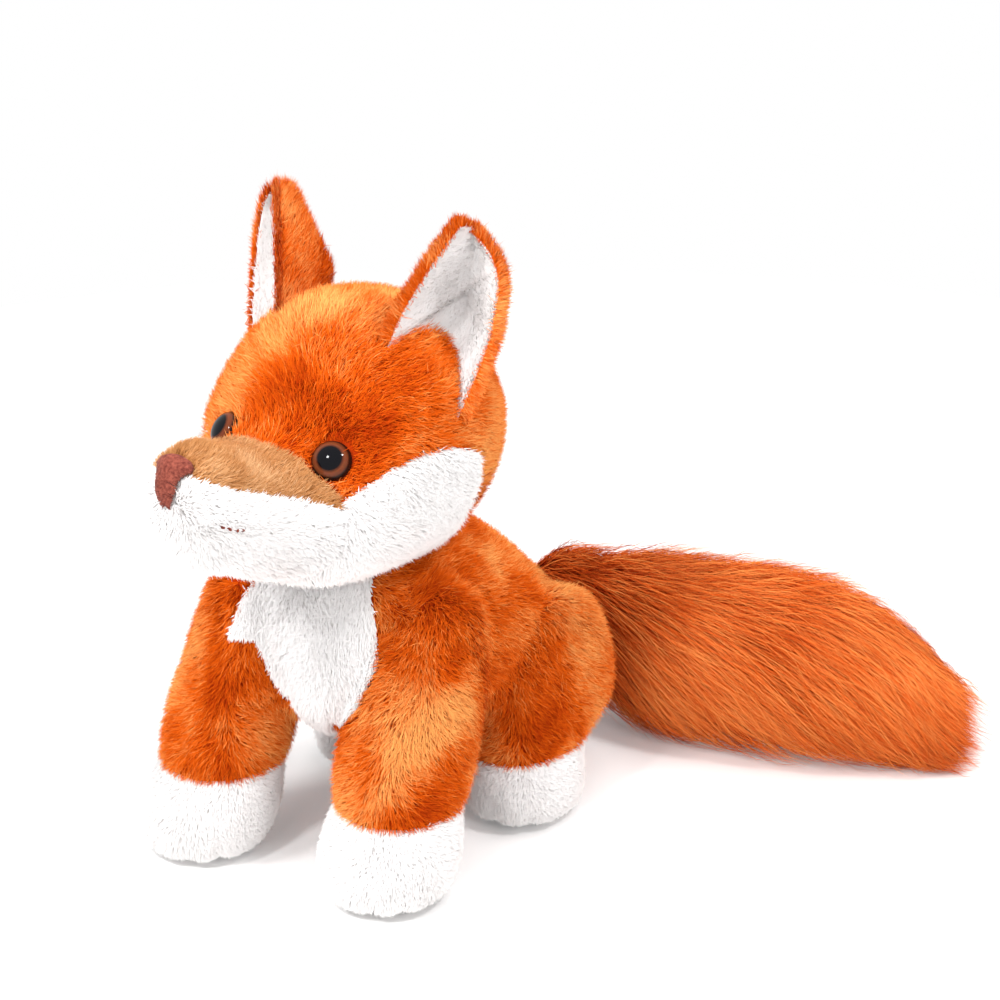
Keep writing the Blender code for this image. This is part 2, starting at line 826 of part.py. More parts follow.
def make_mouth(cloths):
    """One stitched line under the nose, from cheek to cheek, as a thin thread."""
    lift = stitch_radius + seam_gap
    nose = head_point(0.0, stitch_angle) - Vector((0.0, lift, 0.0))
    places = [nose]
    normals = [Vector((0.0, -1.0, 0.0))]
    for along in stitch_shares:
        place = head_point(along, stitch_angle, lift)
        normal = head_normal(along, stitch_angle)
        places = [mirrored(place, -1.0), *places, place]
        normals = [mirrored(normal, -1.0), *normals, normal]
    rings = []
    for index, place in enumerate(places):
        run = places[min(index + 1, len(places) - 1)] - places[max(index - 1, 0)]
        across = run.cross(normals[index]).normalized()
        outward = across.cross(run).normalized()
        ring = []
        for step in range(thread_sides):
            around = 2.0 * math.pi * step / thread_sides
            ring.append(place + (outward * math.cos(around) + across * math.sin(around)) * stitch_radius)
        rings.append(ring)
    return finish(loft("mouth_stitch", rings), cloths["thread"])


def make_eye(name, side, cloths):
    """A safety eye: domed disc and shank turned as one piece."""
    base = -eye_sink + seam_gap
    profile = [(shank_radius, -shank_length), (shank_radius, base), (eye_radius, base)]
    for step in range(1, dome_steps):
        turn = math.pi / 2.0 * step / dome_steps
        profile.append((eye_radius * math.cos(turn), base + eye_dome * math.sin(turn)))
    rings = [[(0.0, 0.0, -shank_length)]]
    for radius, height in profile:
        turns = [2.0 * math.pi * step / eye_steps for step in range(eye_steps)]
        rings.append([(radius * math.cos(turn), radius * math.sin(turn), height) for turn in turns])
    rings.append([(0.0, 0.0, base + eye_dome)])
    return place_frame(finish(loft(name, rings), cloths["eye"]), *eye_frame(side))


def make_washer(name, side, cloths):
    """The ring that locks the eye's shank behind the cloth."""
    near = -washer_place
    far = near - washer_thickness
    bore = shank_radius + seam_gap
    rings = []
    for radius, height in ((bore, far), (washer_radius, far), (washer_radius, near), (bore, near)):
        turns = [2.0 * math.pi * step / eye_steps for step in range(eye_steps)]
        rings.append([(radius * math.cos(turn), radius * math.sin(turn), height) for turn in turns])
    washer = turned_ring(name, rings)
    return place_frame(finish(washer, cloths["washer"]), *eye_frame(side))


def turned_ring(name, rings):
    """Skin rings all the way round, the last one joined to the first."""
    points = [point for ring in rings for point in ring]
    count = len(rings[0])
    faces = []
    for index in range(len(rings)):
        a = index * count
        b = (index + 1) % len(rings) * count
        for step in range(count):
            following = (step + 1) % count
            faces.append((a + step, b + step, b + following, a + following))
    return link_mesh(name, points, faces)


def make_front_limb(label, side, step, cloths):
    """A front leg, with the rounded part of the flank that its sleeve carries."""
    prefix = f"front_{label}"
    frame = shoulder_frame(side)
    pivot = empty(f"{prefix}_leg_pivot", frame[0])
    skins = {}
    for part, depth in limb_depths:
        limb = front_limb_form(f"{prefix}_{part}", side, step, -depth)
        flank = hide_cutter(body_form(f"{prefix}_flank_{part}", -depth))
        disc = hide_cutter(rod(f"{prefix}_disc_{part}", shoulder_radius - depth, 0.0, overrun))
        origin, outward, rise = frame
        place_frame(disc, origin, rise.cross(outward), rise, outward)
        keep(flank, disc)
        combine(limb, flank, "UNION")
        skins[part] = keep(limb, half_space(f"{prefix}_{part}_side", frame, seam_gap / 2.0 + depth))
    make_limb(prefix, skins, front_paw_seam, pivot, cloths)


def make_hind_limb(label, side, cloths):
    prefix = f"hind_{label}"
    frame = hip_frame(side)
    pivot = empty(f"{prefix}_leg_pivot", frame[0])
    skins = {}
    for part, depth in limb_depths:
        limb = hind_limb_form(f"{prefix}_{part}", side, -depth)
        skins[part] = keep(limb, half_space(f"{prefix}_{part}_side", frame, seam_gap / 2.0 + depth))
    make_limb(prefix, skins, hind_paw_seam, pivot, cloths)


def make_limb(prefix, skins, seam, pivot, cloths):
    """Part a limb at its paw seam into an orange sleeve and a white paw round the filling."""
    reach = head_length
    half_gap = seam_gap / 2.0
    above = block(f"{prefix}_above", (-reach, -reach, seam + half_gap), (reach, reach, reach))
    below = block(f"{prefix}_below", (-reach, -reach, 0.0), (reach, reach, seam - half_gap))
    hide_cutter(skins["hollow"])
    for part, region, cloth in (("sleeve", above, "orange"), ("paw", below, "white")):
        cut(skins[part], skins["hollow"])
        keep(skins[part], region)
        attach(finish(skins[part], cloths[cloth]), pivot)
    attach(finish(skins["leg_filling"], cloths["fibre"]), pivot)


def ear_ring(along, height, middle, half, margin):
    """One flattened ring across the ear, on the bent line that both layers share."""
    inner = share_at(ear_shares, along, 1) * ear_width
    outer = share_at(ear_shares, along, 2) * ear_width
    marks = [step / ear_columns for step in range(ear_columns + 1)]
    columns = [inner + (outer - inner) * mark for mark in marks]
    depth = ear_cup * share_at(ear_shares, along, 3)
    cups = [4.0 * depth * mark * (1.0 - mark) for mark in marks]
    drawn_in = min(margin, (outer - inner) * ear_tip_share)
    columns_used = [inner + drawn_in, *columns[1:-1], outer - drawn_in]
    ahead = []
    behind = []
    for mark, x in zip(marks, columns_used):
        cup = float(np.interp(x, columns, cups))
        thin = half * math.sqrt(max(4.0 * mark * (1.0 - mark), ear_edge_share))
        ahead.append((x, middle + cup - thin, height))
        behind.append((x, middle + cup + thin, height))
    return ahead + behind[::-1]


def ear_rings(rows, front, back, margin):
    """Rings up the ear from the top of its root, with a layer between two depths."""
    low = ear_root_radius + seam_gap
    rings = []
    for row in rows:
        height = low + row[0] * (ear_height - low)
        rings.append(ear_ring(row[0], height, (front + back) / 2.0, (back - front) / 2.0, margin))
    return rings


def make_ear(label, side, cloths, head_pivot):
    """An ear of two layers that folds about its rounded root."""
    origin, across, forward, upward = ear_frame(side)
    pivot = attach(empty(f"{label}_ear_pivot", origin), head_pivot)
    split = -ear_thickness / 2.0 + ear_lining_thickness
    rings = []
    for step in range(1, root_steps + 1):
        turn = math.pi / 2.0 * step / root_steps
        height = -ear_root_radius * math.cos(turn)
        rings.append(ear_ring(0.0, height, 0.0, ear_root_radius * math.sin(turn), ear_tip_margin))
    rings += ear_rings(ear_shares, split + seam_gap, ear_thickness / 2.0, ear_tip_margin)
    back = loft(f"{label}_ear_back", rings)
    # Reversed, so that the facing sides of the two layers share the same diagonals
    lining_rings = [ring[::-1] for ring in ear_rings(ear_shares[:-1], -ear_thickness / 2.0, split, ear_lining_margin)]
    lining = loft(f"{label}_ear_lining", lining_rings)
    trim = hide_cutter(head_form(f"{label}_ear_trim", ear_clearance))
    seat = hide_cutter(rod(f"{label}_ear_seat", ear_root_radius + seam_gap, -ear_width, ear_width))
    cut(trim, place_frame(seat, origin, forward, upward, across))
    for shape, cloth in ((back, "orange"), (lining, "white")):
        cut(shape, trim)
        if side < 0:
            shape.data.transform(Matrix.Scale(-1.0, 4, Vector((1.0, 0.0, 0.0))))
            shape.data.flip_normals()
        place_frame(finish(shape, cloths[cloth]), origin, across * side, forward * side, upward)
        attach(shape, pivot)
    return pivot


def make_tail(cloths):
    pivot = empty("tail_pivot", (0.0, tail_root_y, 0.0))
    cover = tail_form("tail_cover")
    root = hide_cutter(rod("tail_root", tail_root_radius, tail_root_low, tail_root_high))
    root.location = pivot.location
    combine(cover, root, "UNION")
    hollow = hide_cutter(tail_core("tail_hollow", -overrun, seam_gap))
    floor = block("tail_floor", (-tail_length, -tail_length, -overrun),
                  (tail_length * 2.0, tail_length * 2.0, 0.0))
    cut(cover, hollow, floor)
    attach(finish(cover, cloths["rust"]), pivot)
    attach(finish(tail_core("tail_filling", 0.0, 0.0), cloths["fibre"]), pivot)
    return pivot


def stand_on_centre():
    """Shift everything so that the origin lies under the middle of the outer box."""
    bpy.context.view_layer.update()
    graph = bpy.context.evaluated_depsgraph_get()
    low = Vector((math.inf, math.inf, math.inf))
    high = -low
    for shape in bpy.data.objects:
        if shape.type not in {"MESH", "CURVE"} or shape.hide_render:
            continue
        solid = shape.evaluated_get(graph)
        mesh = solid.to_mesh()
        for vertex in mesh.vertices:
            place = solid.matrix_world @ vertex.co
            low = Vector(map(min, low, place))
            high = Vector(map(max, high, place))
        solid.to_mesh_clear()
    middle = (low + high) / 2.0
    for shape in bpy.data.objects:
        if shape.parent is None:
            shape.location.x -= middle.x
            shape.location.y -= middle.y


def main():
    clear_scene()
    cloths = make_cloths()
    body_cutters = make_body_cutters()
    make_body(cloths, body_cutters)
    head_pivot = make_head(cloths, make_head_cutters())
    steps = {
        "left": (front_left_step_x, front_left_step_y),
        "right": (front_right_step_x, front_right_step_y),
    }
    for label, side in side_shares:
        make_front_limb(label, side, steps[label], cloths)
        make_hind_limb(label, side, cloths)
        make_ear(label, side, cloths, head_pivot)
    make_tail(cloths)
    stand_on_centre()


main()
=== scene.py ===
import json
import math

import bmesh
import bpy
import numpy as np
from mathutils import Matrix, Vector


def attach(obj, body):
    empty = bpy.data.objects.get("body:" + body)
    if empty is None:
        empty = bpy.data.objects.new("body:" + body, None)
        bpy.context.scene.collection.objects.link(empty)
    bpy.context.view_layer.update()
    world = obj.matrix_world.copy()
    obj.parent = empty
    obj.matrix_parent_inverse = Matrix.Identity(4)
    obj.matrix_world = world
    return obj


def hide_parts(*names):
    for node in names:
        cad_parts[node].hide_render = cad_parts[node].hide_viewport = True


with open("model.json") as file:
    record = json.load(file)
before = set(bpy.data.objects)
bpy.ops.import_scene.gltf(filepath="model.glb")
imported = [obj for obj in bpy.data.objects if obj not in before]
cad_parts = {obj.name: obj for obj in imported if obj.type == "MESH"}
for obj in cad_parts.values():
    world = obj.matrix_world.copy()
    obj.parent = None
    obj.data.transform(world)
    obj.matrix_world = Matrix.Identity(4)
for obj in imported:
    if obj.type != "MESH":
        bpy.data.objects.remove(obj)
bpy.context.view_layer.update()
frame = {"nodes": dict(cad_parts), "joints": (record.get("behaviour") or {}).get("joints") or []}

# Tables of the stuffed forms, all in shares. A lying form's row gives place, half width, middle and half
# height; a limb's gives place down it, half width, shift back, half length and, on the hind one, shift outward.
headPlan = {
    "start": (0.0, -0.137, 0.126), "length": 0.156, "halfWidth": 0.0555, "height": 0.0995,
    "rows": [
        (0.000, 0.000, 0.4100, 0.0000), (0.018, 0.235, 0.4200, 0.1500), (0.070, 0.315, 0.3800, 0.2300),
        (0.155, 0.400, 0.3425, 0.2525), (0.245, 0.505, 0.3100, 0.2700), (0.310, 0.665, 0.2975, 0.2875),
        (0.345, 0.775, 0.3050, 0.3150), (0.400, 0.880, 0.3675, 0.3975), (0.470, 0.945, 0.4175, 0.4675),
        (0.560, 0.990, 0.4625, 0.5225), (0.660, 0.985, 0.4700, 0.5300), (0.780, 0.895, 0.4675, 0.4875),
        (0.880, 0.730, 0.4650, 0.3850), (0.950, 0.540, 0.4650, 0.2450), (0.988, 0.300, 0.4750, 0.1150),
        (1.000, 0.000, 0.4700, 0.0000)],
}
bodyPlan = {
    "start": (0.0, -0.077, 0.0), "length": 0.158, "halfWidth": 0.0460, "height": 0.131,
    "rows": [
        (0.000, 0.00, 0.6800, 0.0000), (0.030, 0.47, 0.6800, 0.2000), (0.095, 0.75, 0.6985, 0.3015),
        (0.200, 0.91, 0.6975, 0.3525), (0.360, 0.98, 0.6650, 0.3850), (0.520, 1.00, 0.5975, 0.3875),
        (0.670, 1.00, 0.4950, 0.3650), (0.810, 0.93, 0.3750, 0.3150), (0.920, 0.70, 0.2750, 0.2150),
        (0.976, 0.38, 0.2400, 0.1100), (1.000, 0.00, 0.2400, 0.0000)],
}
frontLimbPlan = {
    "height": 0.122, "halfWidth": 0.0275, "halfLength": 0.0275, "lean": 0.034, "splay": 0.006,
    "steps": {"left": (0.0400, -0.0715), "right": (0.0430, -0.0850)},
    "tuck": {"left": 0.0, "right": 0.0018}, "tuckStart": 0.60, "tuckSpan": 0.25, "pawSeam": 0.036,
    "pivot": (0.034, -0.046, 0.093), "tilt": math.radians(18.0), "seamRadius": 0.0345,
    "toeTurns": (20.0, 46.0),
    "rows": [
        (0.000, 0.00, 0.000, 0.000), (0.030, 0.42, 0.000, 0.420), (0.100, 0.74, 0.040, 0.740),
        (0.220, 0.90, 0.070, 0.910), (0.380, 0.98, 0.040, 0.960), (0.530, 1.00, 0.000, 1.000),
        (0.640, 0.98, -0.040, 0.980), (0.702, 0.93, -0.050, 0.930), (0.770, 0.98, -0.100, 0.980),
        (0.850, 1.02, -0.120, 1.020), (0.925, 0.97, -0.120, 0.960), (0.970, 0.84, -0.115, 0.835),
        (0.995, 0.62, -0.100, 0.640), (1.000, 0.00, 0.000, 0.000)],
}
hindLimbPlan = {
    "height": 0.092, "halfWidth": 0.024, "halfLength": 0.039, "place": (0.035, 0.031), "pawSeam": 0.030,
    "pivot": (0.026, 0.031, 0.051), "tilt": math.radians(12.0), "seamRadius": 0.0430,
    "toeTurns": (6.0, 36.0),
    "rows": [
        (0.000, 0.00, 0.000, 0.000, 0.00), (0.030, 0.36, 0.020, 0.320, 0.00),
        (0.110, 0.62, 0.050, 0.610, 0.00), (0.280, 0.84, 0.060, 0.860, 0.00),
        (0.460, 0.96, 0.040, 0.960, 0.00), (0.560, 0.96, -0.020, 0.960, 0.04),
        (0.620, 0.94, -0.160, 0.880, 0.08), (0.676, 0.90, -0.330, 0.750, 0.14),
        (0.750, 0.94, -0.435, 0.705, 0.19), (0.850, 0.98, -0.460, 0.700, 0.22),
        (0.930, 0.94, -0.465, 0.655, 0.22), (0.972, 0.82, -0.465, 0.535, 0.22),
        (0.995, 0.60, -0.470, 0.370, 0.22), (1.000, 0.00, -0.460, 0.000, 0.22)],
}
sideSigns = {"left": 1.0, "right": -1.0}
tailRootY = 0.090
# A share for a place well outside a form, and the distance given where no seam is near
farOutside = 9.0
farFromSeam = 0.009

tailJoint = next(joint for joint in frame["joints"] if joint["name"] == "tail_swing")
foxMiddle = np.array([tailJoint["pos_m"][0], tailJoint["pos_m"][1] - tailRootY, 0.0])


# Vectors divided by their lengths
def unit(vectors):
    return vectors / np.maximum(np.linalg.norm(vectors, axis=-1, keepdims=True), 1e-12)


# A full turn in equal steps, its end left out
def roundTurn(count):
    return np.linspace(0.0, 2.0 * math.pi, count, endpoint=False)


# A smooth step: three times the square less twice the cube
def eased(share):
    return share**2 * (3.0 - 2.0 * share)


# The given columns of a table, read at places along its first one
def readTable(rows, places, *columns):
    table = np.asarray(rows)
    return [np.interp(places, table[:, 0], table[:, k]) for k in columns]


# Smooth noise from -1 to 1: a sum of sine waves in random directions, drawn from the seed
def waves(points, size, seed, count=10):
    dice = np.random.default_rng(seed)
    total = np.zeros(points.shape[:-1])
    for _ in range(count):
        direction = unit(dice.normal(size=3)) * (2.0 * math.pi / size) * dice.uniform(0.6, 1.5)
        total += np.sin(points @ direction + dice.uniform(0.0, 2.0 * math.pi))
    return total / math.sqrt(count / 2.0) / 2.2


# A smooth table through the given rows: cubic pieces whose slope at a row is the average of the two chords
# beside it, each weighted by the other's length. Past a pole the neighbour row repeats, its widths negated.
def smoothRows(rows, count, poles=(True, True)):
    table = np.array(rows, float)
    flip = np.ones(table.shape[1])
    flip[1] = flip[3] = -1.0
    before = table[1] * flip if poles[0] else 2.0 * table[0] - table[1]
    after = table[-2] * flip if poles[1] else 2.0 * table[-1] - table[-2]
    knots = np.vstack([before, table, after])
    weight = np.array([2.0] + [1.0] * (table.shape[1] - 1))
    steps = np.maximum(np.linalg.norm(np.diff(knots, axis=0) * weight, axis=1), 1e-6)
    chords = np.diff(knots, axis=0) / steps[:, None]
    back, ahead = steps[:-1, None], steps[1:, None]
    slopes = (chords[1:] * back + chords[:-1] * ahead) / (ahead + back)
    spans = steps[1:-1]
    marks = np.concatenate([[0.0], np.cumsum(spans)])
    where = np.linspace(0.0, marks[-1], count)
    piece = np.clip(np.searchsorted(marks, where, side="right") - 1, 0, len(spans) - 1)
    t = ((where - marks[piece]) / spans[piece])[:, None]
    a, b = table[piece], table[piece + 1]
    ma, mb = slopes[piece] * spans[piece][:, None], slopes[piece + 1] * spans[piece][:, None]
    return ((2 * t**3 - 3 * t**2 + 1) * a + (t**3 - 2 * t**2 + t) * ma
            + (3 * t**2 - 2 * t**3) * b + (t**3 - t**2) * mb)


# A form lying along Y: ellipses square to it, half width by half height, each at its place and middle height
def lyingGrid(plan, rowsDown, around):
    table = smoothRows(plan["rows"], rowsDown)
    turn = roundTurn(around)
    x = table[:, 1:2] * plan["halfWidth"] * np.cos(turn)
    y = plan["start"][1] + table[:, 0:1] * plan["length"] + 0.0 * turn
    z = plan["start"][2] + plan["height"] * (table[:, 2:3] + table[:, 3:4] * np.sin(turn))
    return np.stack([x, y, z], axis=-1)


# A limb's middle at shares of its height: the front one leans, splays and is tucked in at its top by a smooth
# step, the hind one shifts by its row
def limbMiddle(plan, label, along, shift):
    side = sideSigns[label]
    if "lean" in plan:
        step = plan["steps"][label]
        high = np.clip((plan["tuckStart"] - along) / plan["tuckSpan"], 0.0, 1.0)
        tuck = plan["tuck"][label] * eased(high)
        return side * (step[0] - plan["splay"] * (1.0 - along) - tuck), step[1] + plan["lean"] * (1.0 - along)
    return side * (plan["place"][0] + shift * plan["halfWidth"]), plan["place"][1] + 0.0 * along


# A standing limb: level ellipses from its top down to the floor, each with its own middle
def limbGrid(plan, label, rowsDown, around, cut=0.0005):
    table = smoothRows(plan["rows"], rowsDown)
    turn = roundTurn(around)
    along = table[:, 0:1]
    centreX, centreY = limbMiddle(plan, label, along, table[:, -1:])
    x = centreX + table[:, 1:2] * plan["halfWidth"] * np.cos(turn)
    y = centreY + plan["halfLength"] * (table[:, 2:3] + table[:, 3:4] * np.sin(turn))
    z = plan["height"] - along * (plan["height"] + cut) + 0.0 * turn
    return np.stack([x, y, z], axis=-1)


# Where points lie in a limb: their offset from its middle, measured in its ellipse's half widths
def limbShare(points, plan, label, ends=(0.004, 0.985), spare=0.002):
    along = np.clip(1.0 - points[:, 2] / plan["height"], *ends)
    width, shift, half, outward = readTable(smoothRows(plan["rows"], 300), along, 1, 2, 3, -1)
    centreX, centreY = limbMiddle(plan, label, along, outward)
    share = np.hypot((points[:, 0] - centreX) / (width * plan["halfWidth"]),
                     (points[:, 1] - centreY - shift * plan["halfLength"]) / (half * plan["halfLength"]))
    return np.where(points[:, 2] < plan["height"] + spare, share, farOutside)


# Faces of a grid that closes on itself around its columns
def ringFaces(rowsDown, around):
    r, c = np.meshgrid(np.arange(rowsDown - 1), np.arange(around), indexing="ij")
    here, beside = r * around + c, r * around + (c + 1) % around
    return np.stack([here, here + around, beside + around, beside], axis=-1).reshape(-1, 4)


# Put points and faces of one kind into a mesh object in one go
def meshObject(name, points, faces):
    mesh = bpy.data.meshes.new(name)
    faces = np.asarray(faces, np.int32)
    mesh.vertices.add(len(points))
    mesh.vertices.foreach_set("co", np.ascontiguousarray(points, np.float32).ravel())
    mesh.loops.add(faces.size)
    mesh.loops.foreach_set("vertex_index", faces.ravel())
    mesh.polygons.add(len(faces))
    mesh.polygons.foreach_set("loop_start", np.arange(0, faces.size, faces.shape[1], dtype=np.int32))
    mesh.update(calc_edges=True)
    mesh.shade_smooth()
    piece = bpy.data.objects.new(name, mesh)
    bpy.context.scene.collection.objects.link(piece)
    return piece


# Give every point of a mesh its own number, under the name that a material reads
def pointValue(mesh, name, values):
    layer = mesh.attributes.new(name, "FLOAT", "POINT")
    layer.data.foreach_set("value", np.ascontiguousarray(values, np.float32))


# Close the poles of a grid, where a whole row of points falls on one place
def closePoles(piece):
    form = bmesh.new()
    form.from_mesh(piece.data)
    bmesh.ops.remove_doubles(form, verts=form.verts, dist=2e-6)
    form.to_mesh(piece.data)
    form.free()
    return piece


# One skin over several overlapping forms: they are fused on a grid of voxels and relaxed, so that limbs flow
# into the body. Gives points, outward normals and triangles, in the fox's own frame.
def fusedSkin(grids, voxel, relax):
    points, faces, start = [], [], 0
    for grid in grids:
        rowsDown, around = grid.shape[:2]
        points.append(grid.reshape(-1, 3))
        faces.append(ringFaces(rowsDown, around) + start)
        start += rowsDown * around
    rough = meshObject("roughForm", np.vstack(points), np.vstack(faces))
    remesh = rough.modifiers.new("fuse", "REMESH")
    remesh.mode = "VOXEL"
    remesh.voxel_size = voxel
    smooth = rough.modifiers.new("relax", "SMOOTH")
    smooth.factor = 0.5
    smooth.iterations = relax
    solid = rough.evaluated_get(bpy.context.evaluated_depsgraph_get())
    mesh = solid.to_mesh()
    mesh.calc_loop_triangles()
    place = np.empty(len(mesh.vertices) * 3, np.float32)
    mesh.vertices.foreach_get("co", place)
    corner = np.empty(len(mesh.loop_triangles) * 3, np.int32)
    mesh.loop_triangles.foreach_get("vertices", corner)
    solid.to_mesh_clear()
    bpy.data.objects.remove(rough, do_unlink=True)
    return withNormals(place.reshape(-1, 3).astype(float), corner.reshape(-1, 3))


# The outward direction at each point: the sum of its triangles' cross products, made one long
def withNormals(points, faces):
    a, b, c = (points[faces[:, k]] for k in range(3))
    cross = np.cross(b - a, c - a)
    normals = np.stack([sum(np.bincount(faces[:, k], cross[:, axis], len(points)) for k in range(3))
                        for axis in range(3)], axis=1)
    return {"points": points, "normals": unit(normals), "faces": faces}


# How far each point of a skin is from the nearest seam: zero on edges between two panels, then the shortest
# way along the edges, taken in a few rounds
def seamDistance(skin, panels, rounds=7):
    number = np.unique(panels, return_inverse=True)[1]
    faces = skin["faces"]
    low, high = np.full(len(skin["points"]), 999), np.full(len(skin["points"]), -1)
    for k in range(3):
        np.minimum.at(low, faces[:, k], number)
        np.maximum.at(high, faces[:, k], number)
    distance = np.where(low == high, farFromSeam, 0.0)
    edges = np.concatenate([faces[:, [0, 1]], faces[:, [1, 2]], faces[:, [2, 0]]])
    length = np.linalg.norm(skin["points"][edges[:, 0]] - skin["points"][edges[:, 1]], axis=1)
    for _ in range(rounds):
        np.minimum.at(distance, edges[:, 1], distance[edges[:, 0]] + length)
        np.minimum.at(distance, edges[:, 0], distance[edges[:, 1]] + length)
    return distance


# Roots spread evenly over triangles: the count in each is its area times the density per square millimetre,
# and each root is a random mix of the three corners, which also mixes the seam distance
def scatter(skin, density, seed, pick):
    dice = np.random.default_rng(seed)
    tri = skin["faces"][pick]
    a, b, c = (skin["points"][tri[:, k]] for k in range(3))
    area = np.linalg.norm(np.cross(b - a, c - a), axis=1) / 2.0
    total = int(area.sum() * density * 1e6)
    chosen = dice.choice(len(tri), total, p=area / area.sum())
    u, v = dice.random(total), dice.random(total)
    over = u + v > 1.0
    u[over], v[over] = 1.0 - u[over], 1.0 - v[over]
    mix = np.stack([1.0 - u - v, u, v], axis=1)
    roots = (skin["points"][tri[chosen]] * mix[:, :, None]).sum(axis=1)
    normals = unit((skin["normals"][tri[chosen]] * mix[:, :, None]).sum(axis=1))
    seam = (skin["seam"][tri[chosen]] * mix).sum(axis=1) if "seam" in skin else np.full(total, farFromSeam)
    return {"points": roots, "normals": normals, "seam": seam}


# The roots that a mask or a list of places picks
def keepRoots(roots, stay):
    return {key: value[stay] for key, value in roots.items()}


# Strands stay above the lowest height, and thin toward the tip by the thinning share
ribbonPlan = {"lowest": 0.0003, "thinning": 0.75, "cellSides": (0.2, 0.8), "cellMiddle": 0.5,
              "cellFoot": 0.1, "cellHeight": 0.8}


# Strands as flat ribbons along their paths: each ring is two points, half the width either side, and the tip
# is one. Shading directions mix the skin's outward one with the ribbon's own. The bake map gives each strand a
# cell of its own.
def strandMesh(name, paths, facing, width, softness, roll, tone, seed):
    dice = np.random.default_rng(seed)
    count, rings = paths.shape[:2]
    segments = rings - 1
    paths = paths.copy()
    paths[:, :, 2] = np.maximum(paths[:, :, 2], ribbonPlan["lowest"])
    along = unit(np.gradient(paths, axis=1))
    across = unit(np.cross(along, facing[:, None, :]))
    other = np.cross(across, along)
    turn = (roll * dice.normal(size=count))[:, None, None]
    across = across * np.cos(turn) + other * np.sin(turn)
    taper = width / 2.0 * (1.0 - ribbonPlan["thinning"] * (np.arange(segments) / segments) ** 2)
    half = across[:, :-1] * taper[None, :, None]
    pairs = np.stack([paths[:, :-1] - half, paths[:, :-1] + half], axis=2).reshape(count, -1, 3)
    points = np.concatenate([pairs, paths[:, -1:]], axis=1)
    perStrand = 2 * segments + 1
    pattern = [[2 * k, 2 * k + 1, 2 * k + 3, 2 * k, 2 * k + 3, 2 * k + 2] for k in range(segments - 1)]
    pattern = np.array(sum(pattern, []) + [2 * segments - 2, 2 * segments - 1, 2 * segments])
    faces = ((np.arange(count) * perStrand)[:, None] + pattern[None, :]).reshape(-1, 3)
    piece = meshObject(name, points.reshape(-1, 3) + foxMiddle, faces)
    mesh = piece.data
    shade = unit(facing[:, None, :] * softness + np.cross(across, along) * (1.0 - softness))
    shade = np.concatenate([np.repeat(shade[:, :-1], 2, axis=1), shade[:, -1:]], axis=1).reshape(-1, 3)
    mesh.normals_split_custom_set_from_vertices(shade.astype(np.float32))
    ends = np.concatenate([np.repeat(np.arange(segments) / segments, 2), [1.0]])
    pointValue(mesh, "tipShare", np.tile(ends, count))
    pointValue(mesh, "strandTone", np.repeat(np.clip(tone, 0.0, 1.0), perStrand))
    cells = math.ceil(math.sqrt(count))
    column, row = np.arange(count) % cells, np.arange(count) // cells
    sides = np.concatenate([np.tile(ribbonPlan["cellSides"], segments), [ribbonPlan["cellMiddle"]]])
    u, v = column[:, None] + sides, row[:, None] + ribbonPlan["cellFoot"] + ribbonPlan["cellHeight"] * ends
    place = (np.stack([u, v], axis=-1) / cells).reshape(-1, 2)
    bakeMap = mesh.uv_layers.new(name="OFBake")
    bakeMap.data.foreach_set("uv", place[faces.reshape(-1)].astype(np.float32).ravel())
    return piece


# The part of each direction that lies along the skin, made one long
def alongSkin(directions, normals):
    return unit(directions - normals * (directions * normals).sum(axis=1, keepdims=True))


# How strands differ: the spread of their angles, of the cell that they gather in and of their tone
napPlan = {"rootSpread": 0.20, "tipSpread": 0.25, "cellBlur": 0.35, "farthest": 3.0, "gatherPower": 1.5,
           "tone": 0.5, "toneSpread": 0.13}


# A nap. Each strand sets off from its root at one angle to the skin and ends at a lower one, so that its
# direction is cos(angle) times the combed direction plus sin(angle) times the outward one. Strands of one
# small cell, told apart by a hash of its three numbers, lean together by the gather share.
def growNap(name, roots, comb, coat, seed, lengthShare, tone):
    dice = np.random.default_rng(seed)
    start = roots["points"] - roots["normals"] * coat["sink"]
    normals = roots["normals"]
    count, segments = len(start), coat["segments"]
    comb = alongSkin(comb + coat["stray"] * dice.normal(size=(count, 3)), normals)
    length = coat["length"] * (1.0 + coat["uneven"] * dice.uniform(-1.0, 1.0, count)) * lengthShare
    first = np.radians(coat["rootAngle"]) + napPlan["rootSpread"] * dice.normal(size=count)
    last = np.radians(coat["tipAngle"]) + napPlan["tipSpread"] * dice.normal(size=count)
    middles = (np.arange(segments) + 0.5) / segments
    angle = first[:, None] + (last - first)[:, None] * middles
    moves = np.cos(angle)[:, :, None] * comb[:, None, :] + np.sin(angle)[:, :, None] * normals[:, None, :]
    moves = moves * (length / segments)[:, None, None]
    path = np.concatenate([start[:, None, :], start[:, None, :] + np.cumsum(moves, axis=1)], axis=1)
    cell = np.floor(start / coat["tuft"] + napPlan["cellBlur"] * dice.normal(size=(count, 3))).astype(np.int64)
    key = (cell[:, 0] * 73856093) ^ (cell[:, 1] * 19349663) ^ (cell[:, 2] * 83492791)
    kind, group = np.unique(key, return_inverse=True)
    members = np.bincount(group, minlength=len(kind))
    tips = path[:, -1]
    centre = np.stack([np.bincount(group, tips[:, axis], len(kind)) for axis in range(3)], axis=1)
    offset = (centre / members[:, None])[group] - tips
    offset[np.linalg.norm(offset, axis=1) > napPlan["farthest"] * coat["tuft"]] = 0.0
    pull = coat["gather"] * (np.arange(segments + 1) / segments) ** napPlan["gatherPower"]
    pull = pull[None, :, None]
    path = path + pull * offset[:, None, :]
    strandTone = napPlan["tone"] + napPlan["toneSpread"] * dice.normal(size=count) + tone
    return strandMesh(name, path, normals, coat["width"], coat["softness"], coat["roll"], strandTone,
                      seed + 1)


